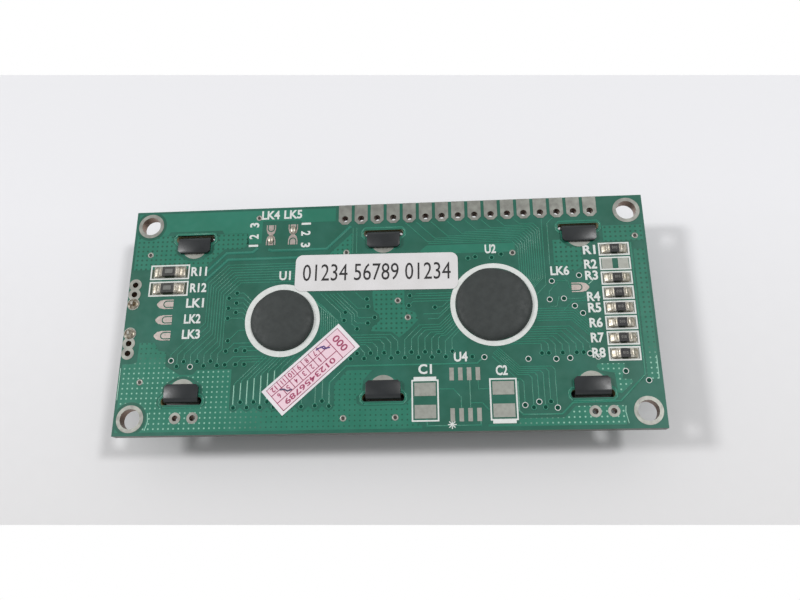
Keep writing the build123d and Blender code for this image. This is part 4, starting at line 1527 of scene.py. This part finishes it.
@dataclass
class Resistors:
    """The chip resistors and the solder that holds them."""

    small: ChipRow = ChipRow(
        x=SMALL_CHIP_X, ys=tuple(9.1 - 2.33 * i for i in range(8) if i != 1),
        chip=(1.15, 0.625), pad=(0.775, 0.825), gap=0.425, ground=(2.1, 0.85),
    )
    large: ChipRow = ChipRow(
        x=LARGE_CHIP_X, ys=(7.5, 4.75), chip=(1.475, 0.725), pad=(0.875, 0.95), gap=0.8, ground=(2.93, 1.03)
    )
    chip_height: float = 0.5
    film: float = 0.006
    highlight_rise: float = 0.01
    print_rise: float = 0.008
    highlight_half: Point = (0.62, 0.36)
    value_size: Point = (0.75, 0.42)
    shade_corner: float = 0.1
    highlight_corner: float = 0.08
    steps: int = 12
    # How the solder fills its pad, falls away from the chip and ends in a foot
    pad_share: Point = (0.97, 0.95)
    roundness: float = 0.25
    side_fall: float = 1.6
    edge_power: int = 6
    climb: float = 0.05
    spread: float = 0.34
    skirt: float = 0.07
    sink: float = 0.01

    def fillet(self, work: bmesh.types.BMesh, row: ChipRow, y: float, side: int) -> None:
        """Add one fillet of solder on a pad, drawn up the end of its chip.

        Args:
            work: the mesh that it is added to.
            row: the kind of chip.
            y: the chip's place in its row.
            side: -1 for the left end, 1 for the right one.
        """
        steps = self.steps
        length, width = row.pad
        middle = row.x + side * (row.gap + length)
        rows = []
        for j in range(steps + 1):
            line = []
            for i in range(steps + 1):
                u = 2 * i / steps - 1
                v = 2 * j / steps - 1
                px = middle + length * self.pad_share[0] * u * math.sqrt(1 - self.roundness * v * v)
                py = y + width * self.pad_share[1] * v * math.sqrt(1 - self.roundness * u * u)
                out = max(abs(px - row.x) - row.chip[0], 0.0)
                beside = max(abs(py - y) - row.chip[1], 0.0)
                away = math.hypot(out, beside * self.side_fall)
                edge = 1 - max(abs(u), abs(v)) ** self.edge_power
                top = (self.chip_height + self.climb) * math.exp(-away / self.spread) + self.skirt
                level = PAD_TOP - self.sink + top * edge
                line.append(work.verts.new((px * MM, py * MM, level * MM)))
            rows.append(line)
        for low, high in zip(rows, rows[1:]):
            for i in range(steps):
                work.faces.new((low[i], low[i + 1], high[i + 1], high[i])).smooth = True
        right = [line[-1] for line in rows[1:]]
        left = [line[0] for line in rows[-2:0:-1]]
        work.faces.new(tuple(reversed(rows[0] + right + rows[-1][-2::-1] + left)))

    def build(self) -> None:
        """Dress the chips, print them, lay painted shade round them and a painted highlight on the large
        ones, and lay their solder.
        """
        small, large = self.small, self.large
        SMALL_CHIP.dress(*(f"resistor_r{n}" for n in (1, 2, 3, 4, 5, 6, 8)))
        LARGE_CHIP.dress("resistor_r9", "resistor_r10")
        # Painted shade: a dark film round and under each chip
        shade_boxes = [
            (box_outline(row.x, y, row.ground, self.shade_corner), [])
            for row in (small, large)
            for y in row.ys
        ]
        film = Piece("painted_chip_shade", "board", CHIP_SHADE)
        lay_sheet(shade_boxes, BOARD_TOP, BOARD_TOP + self.film, film)
        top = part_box("resistor_r1")[1][2] / MM + self.print_rise
        marks = [Mark("010", small.x, y, *self.value_size) for y in small.ys]
        letter(marks, top, 0.0, Piece("chip_values", "chip_body", CHIP_PRINT))
        # Painted highlight: a pale patch laid on top of each large chip
        highlights = [(box_outline(large.x, y, self.highlight_half, self.highlight_corner), []) for y in large.ys]
        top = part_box("resistor_r9")[1][2] / MM
        lay_sheet(highlights, top, top + self.highlight_rise, Piece("painted_chip_highlights", "chip_body", CHIP_HIGHLIGHT))
        work = bmesh.new()
        for row in (small, large):
            for y in row.ys:
                for side in (-1, 1):
                    self.fillet(work, row, y, side)
        Piece("chip_solder", "solder", SOLDER, ("resistor_solder",)).seat_work(work)


@dataclass
class SolderWork:
    """Solder on the leads and on two of the links."""

    steps: int = 24
    shares: tuple[float, ...] = (1.0, 0.93, 0.82, 0.68, 0.52, 0.36, 0.2)
    leads: tuple[Point, ...] = ((-39.0, 2.4), (-39.0, -2.4))
    lead_half: Point = (0.84, 0.84)
    links: tuple[Point, ...] = ((-17.87, 13.27 - 0.774), (-14.35, 13.27 + 0.774))
    link_half: Point = (0.475, 0.75)
    cone_height: float = 0.62
    cone_spread: float = 0.55
    bead_height: float = 0.34

    def cone(self, share: float) -> float:
        """The height of a lead's solder at a share of the way from its middle to its rim."""
        return self.cone_height * math.exp(-((share / self.cone_spread) ** 2)) * (1 - share**6)

    def bead(self, share: float) -> float:
        """The height of a link's solder at a share of the way from its middle to its rim."""
        return self.bead_height * math.sqrt(max(1 - share * share, 0.0))

    def blobs(self, spots: Iterable[Point], half: Point, top: Callable[[float], float], piece: Piece) -> None:
        """Lay rounded blobs of solder.

        Args:
            spots: their middles.
            half: half of their length and width.
            top: their height at a share of the way from the middle to the rim.
            piece: the piece that they become.
        """
        work = bmesh.new()
        for x, y in spots:
            rings = []
            for share in self.shares:
                wide, deep, level = half[0] * share, half[1] * share, PAD_TOP + top(share)
                ring = [(x + wide * math.cos(a), y + deep * math.sin(a), level) for a in turns(self.steps)]
                rings.append(ring)
            add_dome(work, rings, (x, y, PAD_TOP + top(0.0)))
        piece.seat_work(work)

    def build(self) -> None:
        """Lay the solder of the leads and of the closed links."""
        lead = Piece("lead_blobs", "solder", FLUXED_SOLDER, ("lead_solder",))
        self.blobs(self.leads, self.lead_half, self.cone, lead)
        link = Piece("link_blobs", "solder", SOLDER, ("link_solder",))
        self.blobs(self.links, self.link_half, self.bead, link)


@dataclass
class Coats:
    """The epoxy coats over the two bare chips, and the rings printed round them."""

    rise: float = 1.15
    steps: int = 96
    # From the rim up: the share of the radius, and the level
    profile: tuple[Point, ...] = (
        (1.0, 0.0), (1.0, 0.12), (0.99, 0.30), (0.972, 0.46), (0.945, 0.60), (0.90, 0.72), (0.80, 0.86),
        (0.62, 0.97), (0.42, 1.06), (0.22, 1.12),
    )
    # How the edge wanders from a circle, and how far the drop stays inside its solid
    waves: tuple[int, ...] = (2, 3, 5, 7)
    swing: float = 0.03
    full_turn: float = 6.28
    wander: float = 0.25
    within: float = 0.99
    settled: float = 0.98

    def drop(self, x: float, y: float, radius: float, seed: int, piece: Piece) -> None:
        """Set a drop of epoxy that has crept to its ring and settled.

        Args:
            x: its middle.
            y: its middle.
            radius: the radius of its edge.
            seed: the start of the wander of its edge.
            piece: the piece that it becomes.
        """
        chance = random.Random(seed)
        waves = [
            (k, chance.uniform(-self.swing, self.swing), chance.uniform(0, self.full_turn))
            for k in self.waves
        ]
        rings = []
        for share, level in self.profile:
            z = BOARD_TOP + level * self.rise / self.profile[-1][1] * self.settled
            ring = []
            for a in turns(self.steps):
                swing = sum(size * math.sin(n * a + turn) for n, size, turn in waves)
                r = radius * share * (1 + swing * self.wander * share) * self.within
                ring.append((x + r * math.cos(a), y + r * math.sin(a), z))
            rings.append(ring)
        work = bmesh.new()
        add_dome(work, rings, (x, y, BOARD_TOP + self.rise * self.within))
        piece.seat_work(work)

    def build(self) -> None:
        """Set both drops and dress their rings and chips."""
        for side, *size in (("left", -15.4, -0.85, 4.88, 3), ("right", 16.6, 0.85, 5.75, 8)):
            self.drop(*size, Piece(f"{side}_drop", "black_epoxy", EPOXY, (f"{side}_epoxy_coat",)))
        INK.dress("printed_rings", "printed_outlines")
        SILICON.dress("left_chip", "right_chip")


class Side(Enum):
    """The way a printed number reads, as its turn in degrees."""

    FROM_NEAR = 90.0
    FROM_FAR = -90.0


@dataclass
class Print:
    """The white lettering of the board, its paper label and its sticker."""

    growth: Growth
    ink_top: float = 8.83
    star_at: Point = (9.9, -17.05)
    star_reach: float = 0.55
    star_width: float = 0.16
    label_at: Point = (-1.1, 6.55)
    label_size: Point = (22.8, 2.75)
    label_turn: float = -0.7
    grid_width: float = 0.12
    ink_weight: float = 0.03
    sticker_weight: float = 0.02
    print_rise: float = 0.012
    pen_rise: float = 0.004

    def places(self) -> list[Mark]:
        """Place numbers of the parts, in plain order of their kind.

        Returns:
            The marks.
        """
        marks = [
            Mark("R11", -29.0, 7.5, 2.5), Mark("R12", -28.9, 4.8, 2.6), Mark("LK1", -29.2, 2.3, 2.8),
            Mark("LK2", -29.4, -0.25, 2.6), Mark("LK3", -29.4, -2.7, 2.8), Mark("LK4", -18.05, 16.75, 2.9),
            Mark("LK5", -14.45, 16.75, 2.9), Mark("LK6", 26.7, 5.85, 2.8), Mark("U1", -15.3, 6.35, 1.8),
            Mark("U2", 16.45, 9.75, 1.7), Mark("U4", 11.4, -7.15, 2.0), Mark("C1", 6.15, -8.9, 2.0),
            Mark("C2", 17.25, -9.3, 1.7),
        ]
        tops = (9.9, 7.55, 5.75, 2.4, 0.65, -1.65, -3.95, -6.2)
        marks += [Mark(f"R{n}", 31.35, top - 0.8, 1.9) for n, top in enumerate(tops, start=1)]
        left = ((15.1, "3"), (13.1, "2"), (11.55, "1"))
        right = ((15.05, "1"), (13.4, "2"), (11.4, "3"))
        for x, column, side in ((-20.6, left, Side.FROM_NEAR), (-12.3, right, Side.FROM_FAR)):
            marks += [Mark(text, x, y, 0.35 if text == "1" else 0.8, 1.5, side.value) for y, text in column]
        return marks

    def star(self) -> list[Run]:
        """The mark at the first pad of the empty driver place.

        Returns:
            The runs of points.
        """
        x, y = self.star_at
        runs = []
        for a in turns(8)[:4]:
            dx, dy = self.star_reach * math.cos(a), self.star_reach * math.sin(a)
            runs.append([(x - dx, y - dy), (x + dx, y + dy)])
        return runs

    def on_sticker(self, u: float, v: float) -> Point:
        """Turn a place on the sticker into a place on the board.

        Args:
            u: along the sticker, from its middle.
            v: across it.

        Returns:
            The place on the board.
        """
        a = math.radians(STICKER_TURN)
        x, y = STICKER_AT
        return (x + u * math.cos(a) - v * math.sin(a), y + u * math.sin(a) + v * math.cos(a))

    def sticker_print(self) -> None:
        """The frame, the two rows of cells and the pen marks of the sticker, which lies head down."""
        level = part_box("paper_sticker")[1][2] / MM + self.print_rise
        left, right, top, second, third, bottom, box = -6.93, 6.93, 2.0, 0.82, -0.54, -2.0, 4.6
        lines = [
            [(left, bottom), (right, bottom), (right, top), (left, top), (left, bottom)],
            [(left, second), (box, second)],
            [(left, third), (box, third)],
            [(box, bottom), (box, top)],
        ]
        dividers = [-5.0 + 1.53 * k for k in range(6)]
        lines += [[(u, third), (u, top)] for u in dividers]
        turned = [[self.on_sticker(*p) for p in line] for line in lines]
        self.growth.strips(turned, level, self.grid_width, Piece("sticker_grid", "pink_paper", RED_PRINT))
        head_down = STICKER_TURN + 180
        marks = []
        for row, (low, high) in enumerate(((second, top), (third, second))):
            for k, (start, end) in enumerate(zip((left, *dividers), dividers)):
                text = str(12 - 6 * row - k)
                width = {"1": 0.2, "11": 0.6}.get(text, 0.45 * len(text))
                spot = self.on_sticker((start + end) / 2, (low + high) / 2)
                marks.append(Mark(text, *spot, width, 0.8, head_down))
        marks.append(Mark("0123456789", *self.on_sticker(-1.2, (third + bottom) / 2), 9.6, 0.85, head_down))
        marks.append(Mark("000", *self.on_sticker((box + right) / 2, 0.0), 2.7, 1.2, STICKER_TURN - 90))
        letter(marks, level, self.sticker_weight, Piece("sticker_numbers", "pink_paper", RED_PRINT))
        violet = [
            [(-10.0, -5.65), (-9.3, -5.2), (-8.9, -5.5), (-8.05, -5.3)],
            [(-9.9, -5.5), (-8.9, -5.1), (-8.5, -5.45)],
        ]
        dark = [[(-15.2, -11.55), (-14.6, -11.5), (-14.1, -11.75), (-13.5, -11.55)]]
        strokes = (("pen_marks", PEN, violet, 0.22), ("dark_pen_mark", DARK_PEN, dark, 0.25))
        for name, finish, runs, width in strokes:
            self.growth.strips(runs, level + self.pen_rise, width, Piece(name, "pink_paper", finish))

    def build(self) -> None:
        """Print the board's lettering, and dress and print its papers."""
        letter(self.places(), self.ink_top, self.ink_weight, Piece("place_numbers", "white_ink", INK))
        star = Piece("first_pad_star", "white_ink", INK)
        self.growth.strips(self.star(), self.ink_top, self.star_width, star)
        PAPER.dress("paper_label")
        STICKER.dress("paper_sticker")
        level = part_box("paper_label")[1][2] / MM + self.print_rise
        number = [Mark("01234 56789 01234", *self.label_at, *self.label_size, self.label_turn)]
        letter(number, level, 0.0, Piece("label_number", "white_paper", BLACK_PRINT))
        self.sticker_print()


def main() -> None:
    """Build the scene: the studio, then the module from its display face up."""
    logging.basicConfig(level=logging.INFO, format="%(name)s: %(message)s")
    Studio().build()
    growth = Growth()
    DisplayStack().build()
    CopperWork(growth).build()
    Resistors().build()
    SolderWork().build()
    Coats().build()
    Print(growth).build()


if __name__ == "__main__":
    main()
